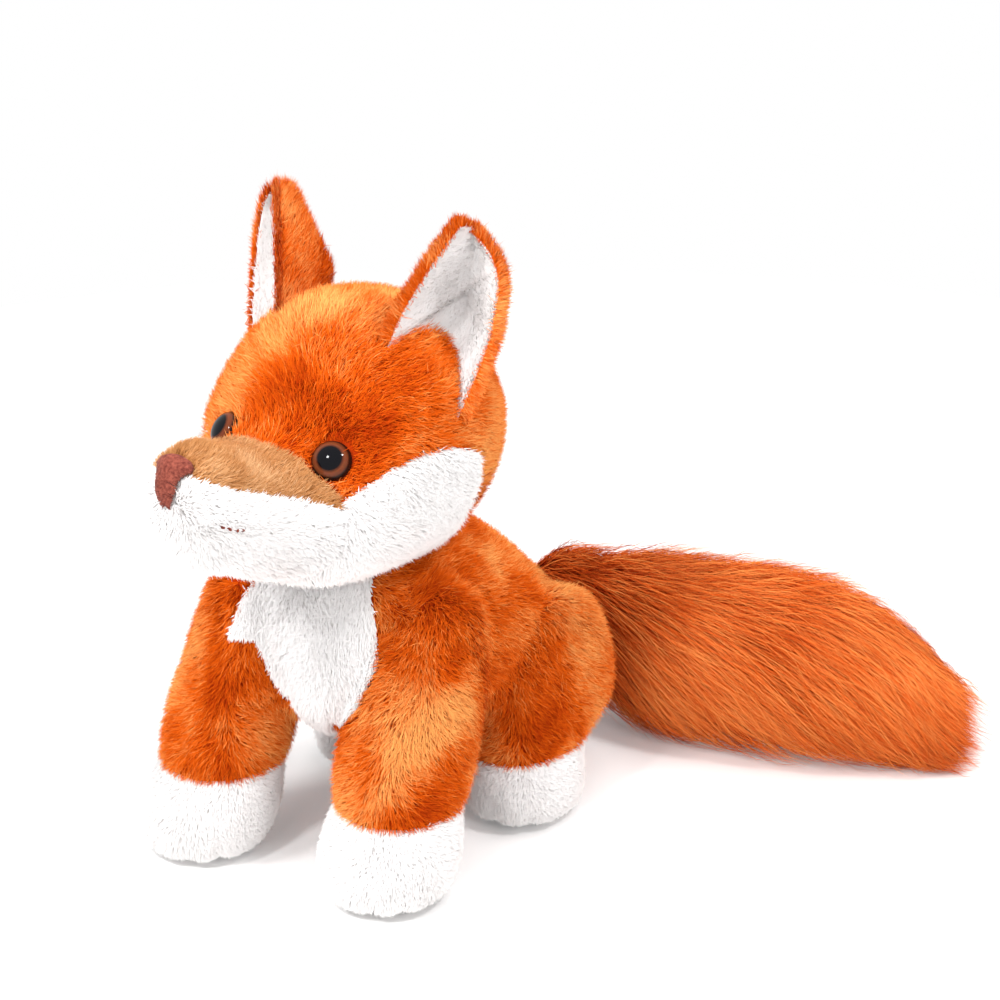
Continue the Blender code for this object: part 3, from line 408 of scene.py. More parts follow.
# The knitted backing under a coat: the picked triangles of a skin, sunk by a depth and given a thin wall
def backing(name, skin, pick, depth, wall=0.0008, lowest=0.0004):
    used, faces = np.unique(skin["faces"][pick], return_inverse=True)
    points = skin["points"][used] - skin["normals"][used] * depth
    points[:, 2] = np.maximum(points[:, 2], lowest + wall)
    piece = meshObject(name, points + foxMiddle, faces.reshape(-1, 3))
    thicken = piece.modifiers.new("wall", "SOLIDIFY")
    thicken.thickness = wall
    thicken.offset = -1.0
    return piece


# Lay each point's combed direction along the skin and turn it about the normal by an angle
def turned(comb, normals, angle):
    comb = alongSkin(comb, normals)
    return comb * np.cos(angle)[:, None] + np.cross(normals, comb) * np.sin(angle)[:, None]


# A sum of waves, each given as strength, size and seed
def ripple(points, layers):
    return sum(strength * waves(points, size, seed) for strength, size, seed in layers)


# Set a node's inputs: an output is linked, a number or a colour goes straight on the socket
def setInputs(node, inputs):
    for key, value in inputs.items():
        if isinstance(value, bpy.types.NodeSocket):
            node.id_data.links.new(value, node.inputs[key])
        else:
            node.inputs[key].default_value = value


# A function that adds a node to a tree, with its inputs and settings
def nodeAdder(tree):
    def add(kind, inputs, **settings):
        node = tree.nodes.new(kind)
        for key, value in settings.items():
            setattr(node, key, value)
        setInputs(node, inputs)
        return node
    return add


# A ramp's colour over a factor: the two end stops come first, then those between them
def addRamp(add, factor, stops):
    ramp = add("ShaderNodeValToRGB", {"Fac": factor})
    marks = ramp.color_ramp.elements
    for number, (position, shade) in enumerate(stops):
        mark = marks[number] if number < 2 else marks.new(position)
        mark.position, mark.color = position, (*shade, 1.0)
    return ramp.outputs["Color"]


def newMaterial(name):
    material = bpy.data.materials.new(name)
    material.use_nodes = True
    return material, material.node_tree.nodes["Principled BSDF"], nodeAdder(material.node_tree)


# A surface with a grain: a texture on Object coordinates picks from a ramp of shades and, where a relief is
# given as strength and depth, raises a bump
def grainMaterial(name, kind, texture, stops, relief, finish):
    material, shader, add = newMaterial(name)
    place = add("ShaderNodeTexCoord", {})
    grain = add("ShaderNodeTex" + kind, {"Vector": place.outputs["Object"], **texture})
    level = grain.outputs["Distance" if kind == "Voronoi" else "Fac"]
    setInputs(shader, {"Base Color": addRamp(add, level, stops), **finish})
    if relief:
        bump = add("ShaderNodeBump", {"Height": level, "Strength": relief[0], "Distance": relief[1]})
        setInputs(shader, {"Normal": bump.outputs["Normal"]})
    return material


# A pile cloth: strand colour runs from a deep root through the middle shade to a pale tip, shifted by the
# strand's own tone, by broad patches of noise on Object coordinates that paint sheen and shade, and by a
# painted highlight that grows toward each strand's tip
def pileMaterial(name, shades):
    material, shader, add = newMaterial(name)
    place = add("ShaderNodeTexCoord", {})
    sheenPatchNoise = add("ShaderNodeTexNoise", {"Vector": place.outputs["Object"], "Scale": shades["sheenPatchScale"],
                                         "Detail": 3.0, "Distortion": 0.6})
    tone = add("ShaderNodeAttribute", {}, attribute_name="strandTone")
    tip = add("ShaderNodeAttribute", {}, attribute_name="tipShare")
    level = shades["base"] - 0.5 * shades["sheenPatchStrength"] - 0.5 * shades["toneStrength"]
    for source, strength in ((sheenPatchNoise, "sheenPatchStrength"), (tone, "toneStrength"), (tip, "tipHighlight")):
        inputs = {0: source.outputs["Fac"], 1: shades[strength], 2: level}
        level = add("ShaderNodeMath", inputs, operation="MULTIPLY_ADD", use_clamp=source is tip).outputs[0]
    stops = ((0.0, shades["root"]), (1.0, shades["tip"]), (0.5, shades["middle"]))
    setInputs(shader, {
        "Base Color": addRamp(add, level, stops), "Roughness": shades["roughness"],
        "Specular IOR Level": shades["specular"], "Sheen Weight": shades["sheen"], "Sheen Roughness": 0.45,
        "Sheen Tint": (*shades["sheenTint"], 1.0)})
    return material


# The knit under the pile: a fine grid of loops in the root shade, with bump
def knitMaterial(name, shade, darker=0.86):
    stops = ((0.0, shade), (1.0, [value * darker for value in shade]))
    return grainMaterial(name, "Voronoi", {"Scale": 900.0}, stops, (0.4, 0.0004),
                         {"Roughness": 0.95, "Specular IOR Level": 0.15})


# Cloths: ramp shades, size and strength of noise patches of painted sheen and shade, tone spread, the painted
# highlight toward strand tips, and finish
finishes = {
    "orange": {"root": (0.46, 0.036, 0.001), "middle": (0.80, 0.120, 0.004), "tip": (0.99, 0.42, 0.115),
               "sheenPatchScale": 42.0, "sheenPatchStrength": 1.1, "toneStrength": 1.1, "tipHighlight": 0.22,
               "base": 0.38, "roughness": 0.85, "specular": 0.06, "sheen": 0.04, "sheenTint": (1.0, 0.45, 0.15)},
    "white": {"root": (0.95, 0.915, 0.895), "middle": (0.97, 0.945, 0.935), "tip": (0.98, 0.965, 0.958),
              "sheenPatchScale": 30.0, "sheenPatchStrength": 0.3, "toneStrength": 0.3, "tipHighlight": 0.40,
              "base": 0.40, "roughness": 0.90, "specular": 0.08, "sheen": 0.05, "sheenTint": (1.0, 0.98, 0.97)},
    "tan": {"root": (0.36, 0.13, 0.035), "middle": (0.57, 0.25, 0.088), "tip": (0.78, 0.45, 0.22),
            "sheenPatchScale": 70.0, "sheenPatchStrength": 0.8, "toneStrength": 1.2, "tipHighlight": 0.24,
            "base": 0.38, "roughness": 0.85, "specular": 0.10, "sheen": 0.06, "sheenTint": (1.0, 0.75, 0.50)},
    "rust": {"root": (0.34, 0.030, 0.003), "middle": (0.80, 0.132, 0.014), "tip": (0.98, 0.33, 0.080),
             "sheenPatchScale": 22.0, "sheenPatchStrength": 0.6, "toneStrength": 1.2, "tipHighlight": 0.30,
             "base": 0.36, "roughness": 0.70, "specular": 0.10, "sheen": 0.04, "sheenTint": (1.0, 0.55, 0.25)},
}
pile = {name: pileMaterial(name + "Pile", shades) for name, shades in finishes.items()}
knit = {name: knitMaterial(name + "Knit", shades["root"]) for name, shades in finishes.items()}

# Pile cloths: strands per square millimetre, length, lie and tufting
coats = {
    "orange": {"density": 2.46, "length": 0.0062, "uneven": 0.25, "rootAngle": 54.0, "tipAngle": 20.0,
               "segments": 2, "width": 0.00034, "stray": 0.42, "tuft": 0.0018, "gather": 0.24, "roll": 0.35,
               "softness": 0.86, "sink": 0.0036},
    "white": {"density": 3.8, "length": 0.0046, "uneven": 0.20, "rootAngle": 46.0, "tipAngle": 14.0,
              "segments": 2, "width": 0.00052, "stray": 0.38, "tuft": 0.0016, "gather": 0.06, "roll": 0.18,
              "softness": 0.98, "sink": 0.0023},
    "tan": {"density": 4.4, "length": 0.0042, "uneven": 0.25, "rootAngle": 42.0, "tipAngle": 12.0,
            "segments": 2, "width": 0.00027, "stray": 0.30, "tuft": 0.0014, "gather": 0.22, "roll": 0.35,
            "softness": 0.86, "sink": 0.0018},
}
print("materials ready")


# Finish a piece: material, body to ride on, and the nodes it stands for, which are hidden
def settle(piece, material, body, nodes=()):
    piece.data.materials.clear()
    piece.data.materials.append(material)
    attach(piece, body)
    if nodes:
        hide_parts(*nodes)
    return piece

# The most strands in one piece, so that it stays under 200,000 triangles
mostStrands = 62000


# Grow a coat over a panel in one piece, or in several side by side where it has too many strands for one
def growCoat(name, roots, comb, coat, seed, lengthShare, tone, cloth, body):
    order = np.argsort(roots["points"][:, 0], kind="stable")
    parts = np.array_split(order, len(order) // mostStrands + 1)
    for number, part in enumerate(parts):
        title = name if len(parts) == 1 else f"{name}{number + 1}"
        fur = growNap(title, keepRoots(roots, part), comb[part], coat, seed + 7 * number,
                      lengthShare[part], tone[part])
        settle(fur, pile[cloth], body)


# Painted sheen (above zero) or painted shade (below) where the pile is brushed: place, radius, strength
paintedSheenPatches = [
    (-0.010, -0.050, 0.222, 0.016, 0.20), (0.014, -0.030, 0.222, 0.018, 0.19),
    (-0.025, -0.064, 0.208, 0.015, 0.14), (0.007, -0.078, 0.195, 0.022, -0.16),
    (0.030, -0.076, 0.192, 0.016, -0.18), (0.037, -0.058, 0.204, 0.012, -0.10),
    (-0.029, -0.077, 0.191, 0.014, 0.10), (0.051, -0.051, 0.190, 0.012, -0.08),
    (0.048, -0.016, 0.163, 0.022, 0.20), (0.013, -0.056, 0.217, 0.012, 0.12),
    (0.051, -0.077, 0.063, 0.012, 0.30), (0.055, -0.070, 0.080, 0.014, 0.22),
    (0.047, -0.059, 0.104, 0.018, -0.14), (0.061, -0.053, 0.081, 0.010, 0.12),
    (0.050, -0.046, 0.113, 0.014, -0.10), (0.060, -0.075, 0.044, 0.011, -0.20),
    (0.035, -0.083, 0.045, 0.012, 0.18), (-0.032, -0.089, 0.071, 0.012, -0.18),
    (-0.045, -0.085, 0.078, 0.014, 0.22), (-0.034, -0.096, 0.050, 0.011, -0.14),
    (-0.017, -0.080, 0.052, 0.010, 0.14), (0.042, 0.007, 0.096, 0.016, -0.14),
    (0.051, 0.023, 0.075, 0.018, -0.10), (0.055, 0.037, 0.062, 0.013, 0.25),
    (0.034, 0.005, 0.111, 0.016, 0.10), (0.052, 0.010, 0.048, 0.015, -0.22),
    (0.050, 0.036, 0.079, 0.016, 0.16), (0.030, 0.040, 0.095, 0.020, 0.18),
]
# How strongly that painted sheen and shade shows, and the strength, size and seed of the noise beside them
paintedSheenPlan = {"strength": 1.35, "noise": ((0.10, 0.030, 61), (0.05, 0.011, 62))}


# Painted sheen and shade of the patches: bell curves of the distance from each one, plus two sizes of noise
def paintedSheenTone(points):
    table = np.array(paintedSheenPatches)
    apart = ((points[:, None, :] - table[None, :, :3]) ** 2).sum(axis=2)
    bells = (np.exp(-apart / table[:, 3] ** 2) * table[:, 4]).sum(axis=1)
    return paintedSheenPlan["strength"] * bells + ripple(points, paintedSheenPlan["noise"])


chestPlan = {"halfWidth": 0.031, "drop": 0.078, "top": 0.126, "back": -0.047,
             "rows": [(0.00, 0.72), (0.25, 0.96), (0.45, 1.00), (0.65, 0.80), (0.85, 0.36), (1.00, 0.04)]}
# How far past its form a leg's seam may lie, and how far above the belly's line
legSeam = {"form": 1.16, "spare": 0.003}


# Name the panel that each point of the body and legs belongs to: a leg's points lie outside its seam plane,
# in its own form or in the round of flank that it carries, or low enough that only a leg is there
def bodyPanels(points):
    names = np.where(points[:, 0] > 0.0, "left_body_side", "right_body_side").astype("U24")
    drop = (chestPlan["top"] - points[:, 2]) / chestPlan["drop"]
    table = np.array(chestPlan["rows"])
    spread = np.interp(drop, table[:, 0], table[:, 1], right=0.0) * chestPlan["halfWidth"]
    names[(np.abs(points[:, 0]) < spread) & (points[:, 1] < chestPlan["back"])] = "chest_panel"
    rows = smoothRows(bodyPlan["rows"], 200)
    along = (points[:, 1] - bodyPlan["start"][1]) / bodyPlan["length"]
    belly = bodyPlan["height"] * np.interp(along, rows[:, 0], rows[:, 2] - rows[:, 3])
    for label, side in sideSigns.items():
        for prefix, plan in (("hind", hindLimbPlan), ("front", frontLimbPlan)):
            offset = points - np.array(plan["pivot"]) * np.array([side, 1.0, 1.0])
            depth = offset @ np.array([side * math.cos(plan["tilt"]), 0.0, -math.sin(plan["tilt"])])
            up = offset @ np.array([side * math.sin(plan["tilt"]), 0.0, math.cos(plan["tilt"])])
            inForm = limbShare(points, plan, label) < legSeam["form"]
            inRound = (np.hypot(up, offset[:, 1]) < plan["seamRadius"]) & (prefix == "front")
            on = ((depth > 0.0) & (inForm | inRound)) | (inForm & (points[:, 2] < belly + legSeam["spare"]))
            on &= points[:, 0] * side > 0.0
            names[on] = f"{prefix}_{label}_sleeve"
            names[on & (points[:, 2] < plan["pawSeam"])] = f"{prefix}_{label}_paw"
    return names


facePlan = {"seamY": -0.095, "slope": 0.18, "bridgeFront": 0.1830, "bridgeBack": 0.1650, "cheekTop": 0.1800,
            "cheekBack": -0.032,
            "cheekRows": [(1.30, 0.20), (0.54, 0.28), (0.42, 0.09), (0.28, 0.00), (0.12, 0.04), (0.00, 0.16)]}


# Name the panel that each point of the head belongs to
def headPanels(points):
    names = np.full(len(points), "crown_panel", "U24")
    cheekLength = facePlan["cheekBack"] - headPlan["start"][1]
    rows = np.array(facePlan["cheekRows"])[::-1]
    back = (facePlan["cheekBack"] - points[:, 1]) / cheekLength
    drop = np.interp(back, rows[:, 0], rows[:, 1]) * (facePlan["cheekTop"] - headPlan["start"][2])
    cheek = (points[:, 2] < facePlan["cheekTop"] - drop) & (points[:, 1] < facePlan["cheekBack"])
    names[cheek & (points[:, 0] > 0.0)] = "left_cheek"
    names[cheek & (points[:, 0] <= 0.0)] = "right_cheek"
    slope = (facePlan["bridgeFront"] - facePlan["bridgeBack"]) / (headPlan["start"][1] - facePlan["seamY"])
    bridge = facePlan["bridgeBack"] + slope * (points[:, 1] - facePlan["seamY"])
    wedge = points[:, 1] < facePlan["seamY"] + facePlan["slope"] * np.abs(points[:, 0])
    names[wedge] = "muzzle_panel"
    names[wedge & (points[:, 2] > bridge)] = "snout_bridge"
    return names


panelCloth = {"chest_panel": "white", "muzzle_panel": "white", "left_cheek": "white", "right_cheek": "white",
              "snout_bridge": "tan"}


# The colour of a panel's cloth
def clothOf(panel):
    return panelCloth.get(panel, "white" if panel.endswith("_paw") else "orange")


# A place on the head's skin, its share of the length and its angle round, as eyes, ears and mouth use them
def headPlace(along, angle):
    width, middle, half = readTable(headPlan["rows"], along, 1, 2, 3)
    return np.array([width * headPlan["halfWidth"] * math.cos(angle),
                     headPlan["start"][1] + along * headPlan["length"],
                     headPlan["start"][2] + headPlan["height"] * (middle + half * math.sin(angle))])

# The outward direction there: the cross product of a chord along the head and one round it
def headOutward(along, angle, stride=0.02):
    chord = headPlace(along + stride, angle) - headPlace(max(along - stride, 0.0), angle)
    sweep = headPlace(along, angle + stride) - headPlace(along, angle - stride)
    return unit(np.cross(chord, sweep))


# How far a point is outside the head, in units of its ellipse there less one; below zero is inside
def outsideHead(points):
    along = (points[..., 1] - headPlan["start"][1]) / headPlan["length"]
    width, middle, half = readTable(smoothRows(headPlan["rows"], 400), along, 1, 2, 3)
    height = headPlan["start"][2] + headPlan["height"] * middle
    share = np.hypot(points[..., 0] / (width * headPlan["halfWidth"] + 1e-5),
                     (points[..., 2] - height) / (half * headPlan["height"] + 1e-5))
    return np.where((along < 0.0) | (along > 1.0), farOutside, share - 1.0)


eyePlan = {"along": 0.335, "angle": math.radians(49.0), "radius": 0.0075, "dome": 0.0050, "sink": 0.0033}
# How the pile lies round each eye: where it begins, its length there and how far it is brushed off the eye
eyeFur = {"left": (0.97, 0.55, 0.75), "right": (0.80, 1.0, -1.0)}
eyeFrames = {}
for label, side in sideSigns.items():
    mirror = np.array([side, 1.0, 1.0])
    origin = headPlace(eyePlan["along"], eyePlan["angle"]) * mirror
    outward = headOutward(eyePlan["along"], eyePlan["angle"]) * mirror
    across = unit(np.cross([0.0, 0.0, 1.0], outward))
    eyeFrames[label] = (origin, across, np.cross(outward, across), outward)

muzzleFill = {"back": -0.098, "front": -0.124, "depth": 0.0044, "jaw": 0.0030}


# How far the stuffing rounds the muzzle's end out past its cut form: a smooth step from its back to its tip
def fillDepth(points):
    share = (muzzleFill["back"] - points[..., 1]) / (muzzleFill["back"] - muzzleFill["front"])
    return muzzleFill["depth"] * eased(np.clip(share, 0.0, 1.0))


# The nose shield: its outline on the plane of the muzzle's tip, laid on the muzzle along rays from a core
nosePlan = {"halfWidth": 0.0100, "low": 0.1722, "high": 0.1945, "core": (0.0, -0.1215, 0.1720),
            "proud": 0.0024, "sunk": 0.0008, "stitches": 56, "steps": 19, "uneven": 0.03, "bow": 0.0010,
            "slant": 0.00012, "rounding": 5.0, "thread": 0.00032,
            "rows": [(0.00, 0.50), (0.06, 0.82), (0.20, 1.00), (0.34, 0.95), (0.46, 0.62), (0.60, 0.46),
                     (0.80, 0.36), (1.00, 0.16)]}


# The place where a ray from the nose's core leaves the head, found by halving the span that holds it
def onMuzzle(directions, reach=0.05, rounds=22):
    core = np.array(nosePlan["core"])
    near, far = np.zeros(directions.shape[:-1]), np.full(directions.shape[:-1], reach)
    for _ in range(rounds):
        middle = (near + far) / 2.0
        outside = outsideHead(core + directions * middle[..., None]) > 0.0
        far = np.where(outside, middle, far)
        near = np.where(outside, near, middle)
    return core + directions * near[..., None]


# The share of the shield's half width that a point's ray from the core passes at, far outside where it misses
def noseShare(points, nearest=0.002, narrowest=0.01):
    core = np.array(nosePlan["core"])
    ray = points - core
    scale = (headPlan["start"][1] - core[1]) / np.minimum(ray[:, 1], -1e-5)
    x, z = ray[:, 0] * scale, core[2] + ray[:, 2] * scale
    drop = (nosePlan["high"] - z) / (nosePlan["high"] - nosePlan["low"])
    table = np.array(nosePlan["rows"])
    spread = np.interp(drop, table[:, 0], table[:, 1], left=narrowest, right=narrowest) * nosePlan["halfWidth"]
    return np.where(ray[:, 1] > -nearest, farOutside, np.minimum(np.abs(x) / spread, farOutside))


mouthPlan = {"reach": 0.125, "middle": 0.012, "steps": 150, "stitched": (0.040, 0.088), "stitch": 0.014,
             "stitchLevel": 0.25, "shown": 0.0003, "buried": 0.0024, "twists": 22, "twist": 0.00026,
             "thread": 0.00028, "pastEnd": 0.02, "noLine": 0.05}


# How near a point is to the mouth's line, which runs level round the muzzle's widest places
def mouthDistance(points):
    along = (points[:, 1] - headPlan["start"][1]) / headPlan["length"]
    height = headPlan["start"][2] + headPlan["height"] * readTable(headPlan["rows"], along, 2)[0]
    near = (along < mouthPlan["reach"] + mouthPlan["pastEnd"]) & (noseShare(points) > 1.0)
    return np.where(near, np.abs(points[:, 2] - height), mouthPlan["noLine"])


# The middle of each of a skin's triangles
def middles(skin):
    return skin["points"][skin["faces"]].mean(axis=1)


# A length share that grows with the distance, from the least one up to one
def grown(distance, least, reach):
    return np.clip(least + distance / reach, least, 1.0)


# The head. Its pile is shorter beside seams, the mouth and the nose, longer down the jowls, and parted on the
# crown.
headFur = {
    "voxel": 0.0016, "relax": 2, "seam": (0.70, 0.012), "mouth": 0.60, "mouthReach": 0.0032,
    "nose": 0.55, "noseClear": 0.92, "noseGrowth": 0.9, "jowl": 0.75, "jowlTop": 0.148, "jowlSpan": 0.012,
    "parting": 0.9, "partingWidth": 0.03, "eyeReach": 0.008, "eyeEdge": 0.003,
    "rise": {"crown_panel": 0.15, "left_cheek": -0.75, "right_cheek": -0.75}, "otherRise": -0.10,
    "cheek": {"length": 0.0060, "rootAngle": 50.0, "tipAngle": 20.0, "stray": 0.4},
    "swirl": ((0.8, 0.050, 21), (0.35, 0.016, 22)),
}
headSkin = fusedSkin([lyingGrid(headPlan, 90, 96)], headFur["voxel"], headFur["relax"])
under = np.clip(-headSkin["normals"][:, 2], 0.0, 1.0)
depth = fillDepth(headSkin["points"])
filled = headSkin["points"] + headSkin["normals"] * (depth * (1.0 - under))[:, None]
# The more a place faces down, the less it is filled out: the jaw is drawn up instead
filled[:, 2] += depth / muzzleFill["depth"] * muzzleFill["jaw"] * under
headSkin = withNormals(filled, headSkin["faces"])
facePanels = headPanels(middles(headSkin))
headSkin["seam"] = seamDistance(headSkin, facePanels)
for number, panel in enumerate(("crown_panel", "snout_bridge", "muzzle_panel", "left_cheek", "right_cheek")):
    cloth = clothOf(panel)
    coat = {**coats[cloth], **(headFur["cheek"] if panel.endswith("cheek") else {})}
    under = backing(panel + "Cloth", headSkin, facePanels == panel, coat["sink"])
    settle(under, knit[cloth], "head", [panel])
    roots = scatter(headSkin, coat["density"], 100 + number, facePanels == panel)
    stay = (headPanels(roots["points"]) == panel) & (noseShare(roots["points"]) > headFur["noseClear"])
    for label, eye in eyeFrames.items():
        stay &= np.linalg.norm(roots["points"] - eye[0], axis=1) > eyePlan["radius"] * eyeFur[label][0]
    roots = keepRoots(roots, stay)
    place, normals = roots["points"], roots["normals"]
    lengthShare = grown(roots["seam"], *headFur["seam"])
    comb = np.tile([0.0, 1.0, headFur["rise"].get(panel, headFur["otherRise"])], (len(place), 1))
    if panel == "crown_panel":
        beside = np.minimum(np.abs(place[:, 0]) / headFur["partingWidth"], 1.0)
        comb[:, 0] = headFur["parting"] * np.sign(place[:, 0]) * beside
    elif panel.endswith("cheek"):
        down = np.clip((headFur["jowlTop"] - place[:, 2]) / headFur["jowlSpan"], 0.0, 1.0)
        lengthShare = lengthShare * (1.0 + headFur["jowl"] * down)
    elif panel == "muzzle_panel":
        lengthShare = lengthShare * np.clip(mouthDistance(place) / headFur["mouthReach"], headFur["mouth"], 1.0)
    comb = turned(comb, normals, ripple(place, headFur["swirl"]))
    fromNose = headFur["nose"] + (noseShare(place) - headFur["noseClear"]) * headFur["noseGrowth"]
    lengthShare = np.minimum(lengthShare, np.clip(fromNose, headFur["nose"], 1.0))
    for label, eye in eyeFrames.items():
        away = np.linalg.norm(place - eye[0], axis=1) - eyePlan["radius"]
        fromEye = np.clip(eyeFur[label][1] + away / headFur["eyeReach"], 0.0, 1.0)
        lengthShare = np.minimum(lengthShare, fromEye)
        push = eyeFur[label][2] * np.exp(-(away / headFur["eyeEdge"]) ** 2)[:, None]
        comb = comb * (1.0 - push) + unit(place - eye[0]) * push
    growCoat(panel + "Fur", roots, comb, coat, 200 + number, lengthShare, paintedSheenTone(place), cloth, "head")
print("head dressed")

# Two toe lines in each paw: their depth, half width in degrees and the height that they fade at
toePlan = {"depth": 0.0013, "width": 6.0, "height": 0.016, "along": 0.9, "back": 0.15, "form": 1.3,
           "top": 1.6, "fade": 1.3}
# The crease between thigh and rump, a line down the left haunch and its mirror image
creasePlan = {
    "depth": 0.0014, "width": 0.0042, "steps": 26, "nearestSide": 0.035, "front": -0.01,
    "line": [(0.0492, 0.0448, 0.0796), (0.0524, 0.0348, 0.0757), (0.0540, 0.0249, 0.0682),
             (0.0544, 0.0180, 0.0598), (0.0541, 0.0126, 0.0515), (0.0543, 0.0091, 0.0430)],
}
# The pile of body and legs is shorter beside seams and near the floor, and left out under the soles
bodyFur = {
    "voxel": 0.0016, "relax": 5, "seam": (0.60, 0.007), "floor": (0.35, 0.010), "paw": 0.8,
    "soleHeight": 0.0015, "soleFacing": -0.8, "neckHigh": 0.1275, "neckInside": -0.08,
    "limbComb": (0.0, 0.35, -1.0), "sideComb": (0.0, 1.0, -0.8),
    "swirl": ((0.9, 0.045, 31), (0.40, 0.015, 32)),
}

# The body and legs are fused, so that shoulders and haunches flow into the flanks
bodyGrids = [lyingGrid(bodyPlan, 70, 80)]
for label in sideSigns:
    bodyGrids += [limbGrid(frontLimbPlan, label, 60, 48), limbGrid(hindLimbPlan, label, 60, 56)]
bodySkin = fusedSkin(bodyGrids, bodyFur["voxel"], bodyFur["relax"])


# Press the toe lines in, by a bell curve of the turn away from each line that fades up the paw, and the crease
# of the haunches, by a bell curve of the distance from its line
def pressIn(skin):
    points, move = skin["points"], np.zeros(len(skin["points"]))
    for label in sideSigns:
        for plan in (frontLimbPlan, hindLimbPlan):
            shift = readTable(plan["rows"], toePlan["along"], 2)[0] + toePlan["back"]
            middleX, middleY = limbMiddle(plan, label, toePlan["along"], plan["rows"][-3][-1])
            low = points[:, 2] < toePlan["height"] * toePlan["top"]
            inPaw = (limbShare(points, plan, label) < toePlan["form"]) & low
            ahead = middleY + shift * plan["halfLength"] - points[:, 1]
            turn = np.degrees(np.arctan2(points[:, 0] - middleX, ahead))
            fade = np.clip(toePlan["fade"] - points[:, 2] / toePlan["height"], 0.0, 1.0)
            for line in plan["toeTurns"]:
                bell = np.exp(-((turn - line) / toePlan["width"]) ** 2)
                move += np.where(inPaw, fade * toePlan["depth"] * bell, 0.0)
    line = np.array(creasePlan["line"])
    marks = np.arange(len(line))
    where = np.linspace(0.0, marks[-1], creasePlan["steps"])
    line = np.stack([np.interp(where, marks, line[:, axis]) for axis in range(3)], axis=1)
    near = (np.abs(points[:, 0]) > creasePlan["nearestSide"]) & (points[:, 1] > creasePlan["front"])
    mirrored = points[near]
    mirrored[:, 0] = np.abs(mirrored[:, 0])
    apart = np.linalg.norm(mirrored[:, None] - line[None], axis=2).min(axis=1)
    move[near] += creasePlan["depth"] * np.exp(-((apart / creasePlan["width"]) ** 2))
    return withNormals(points - skin["normals"] * move[:, None], skin["faces"])


bodySkin = pressIn(bodySkin)
centres = middles(bodySkin)
bodyNames = bodyPanels(centres)
bodySkin["seam"] = seamDistance(bodySkin, bodyNames)
# High up, the body's cloth stops where the head sits on it
clearOfHead = (centres[:, 2] < bodyFur["neckHigh"]) | (outsideHead(centres) > bodyFur["neckInside"])
for number, panel in enumerate(sorted(set(bodyNames))):
    cloth = clothOf(panel)
    coat = coats[cloth]
    onLeg = panel.startswith(("front", "hind"))
    body = panel.rsplit("_", 1)[0] + "_leg" if onLeg else "body"
    pick = (bodyNames == panel) & clearOfHead
    under = backing(panel + "Cloth", bodySkin, pick, coat["sink"])
    settle(under, knit[cloth], body, [panel])
    roots = scatter(bodySkin, coat["density"], 300 + number, pick)
    place = roots["points"]
    sole = (place[:, 2] < bodyFur["soleHeight"]) & (roots["normals"][:, 2] < bodyFur["soleFacing"])
    roots = keepRoots(roots, (bodyPanels(place) == panel) & ~sole)
    place = roots["points"]
    comb = np.tile(bodyFur["sideComb" if panel.endswith("body_side") else "limbComb"], (len(place), 1))
    comb = turned(comb, roots["normals"], ripple(place, bodyFur["swirl"]))
    share = grown(place[:, 2], *bodyFur["floor"]) * grown(roots["seam"], *bodyFur["seam"])
    if panel.endswith("paw"):
        share = share * bodyFur["paw"]
    growCoat(panel + "Fur", roots, comb, coat, 400 + number, share, paintedSheenTone(place), cloth, body)
print("body and legs dressed")

# A row of the ear: place up it, inner edge, outer edge, depth of its cup; rows below zero run into the head
earPlan = {
    "height": 0.0475, "width": 0.052, "cup": 0.024, "edge": 0.0018, "along": 0.61,
    "angle": math.radians(40.0), "rise": 0.0022, "turn": math.radians(24.0), "tilt": math.radians(14.6),
    "lean": math.radians(11.0), "lift": 0.0010, "wall": 0.0006, "inside": -0.28,
    "swirl": ((0.6, 0.03, 51),),
    "rows": [
        (-0.40, -0.34, 0.36, 0.55), (-0.18, -0.40, 0.34, 0.66), (0.02, -0.44, 0.31, 0.76),
        (0.18, -0.455, 0.285, 0.88), (0.36, -0.46, 0.25, 0.97), (0.56, -0.46, 0.18, 0.80),
        (0.76, -0.45, 0.09, 0.57), (0.90, -0.44, -0.04, 0.40), (0.97, -0.43, -0.19, 0.27),
        (1.00, -0.415, -0.28, 0.20)],
}
earTable = smoothRows(earPlan["rows"], 500, (False, False))


# An ear's frame: X along its fold line, Y toward its back and Z up the ear
def earFrame(side, stride=0.02):
    mirror = np.array([side, 1.0, 1.0])
    along, angle = earPlan["along"], earPlan["angle"]
    origin = (headPlace(along, angle) + headOutward(along, angle) * earPlan["rise"]) * mirror
    x, _, z = unit(headPlace(along, angle - stride) - headPlace(along, angle + stride))
    c, s = math.cos(earPlan["tilt"]), math.sin(earPlan["tilt"])
    tangent = np.array([x * c - z * s, 0.0, x * s + z * c])
    tangent = tangent * math.cos(earPlan["turn"]) + np.array([0.0, math.sin(earPlan["turn"]), 0.0])
    across = unit(tangent * mirror)
    lean = np.array([0.0, math.sin(earPlan["lean"]), math.cos(earPlan["lean"])])
    upward = unit(lean - across * (lean @ across))
    return origin, across, np.cross(upward, across) * side, upward


# An ear's sheet: across it a parabola as deep as the row's cup, up it the smoothed rows
def earSheet(side, rowsUp, columns, narrowest=0.001):
    up = np.linspace(earPlan["rows"][0][0], 1.0 - earPlan["edge"] / earPlan["height"], rowsUp)
    inner, outer, cup = readTable(earTable, up, 1, 2, 3)
    mark = np.linspace(0.0, 1.0, columns)
    left = inner * earPlan["width"] + earPlan["edge"]
    right = np.maximum(outer * earPlan["width"] - earPlan["edge"], left + narrowest)
    x = left[:, None] + (right - left)[:, None] * mark
    y = earPlan["cup"] * cup[:, None] * 4.0 * mark * (1.0 - mark)
    z = up[:, None] * earPlan["height"] + 0.0 * mark
    origin, across, behind, upward = earFrame(side)
    return origin + x[..., None] * across + y[..., None] * behind + z[..., None] * upward


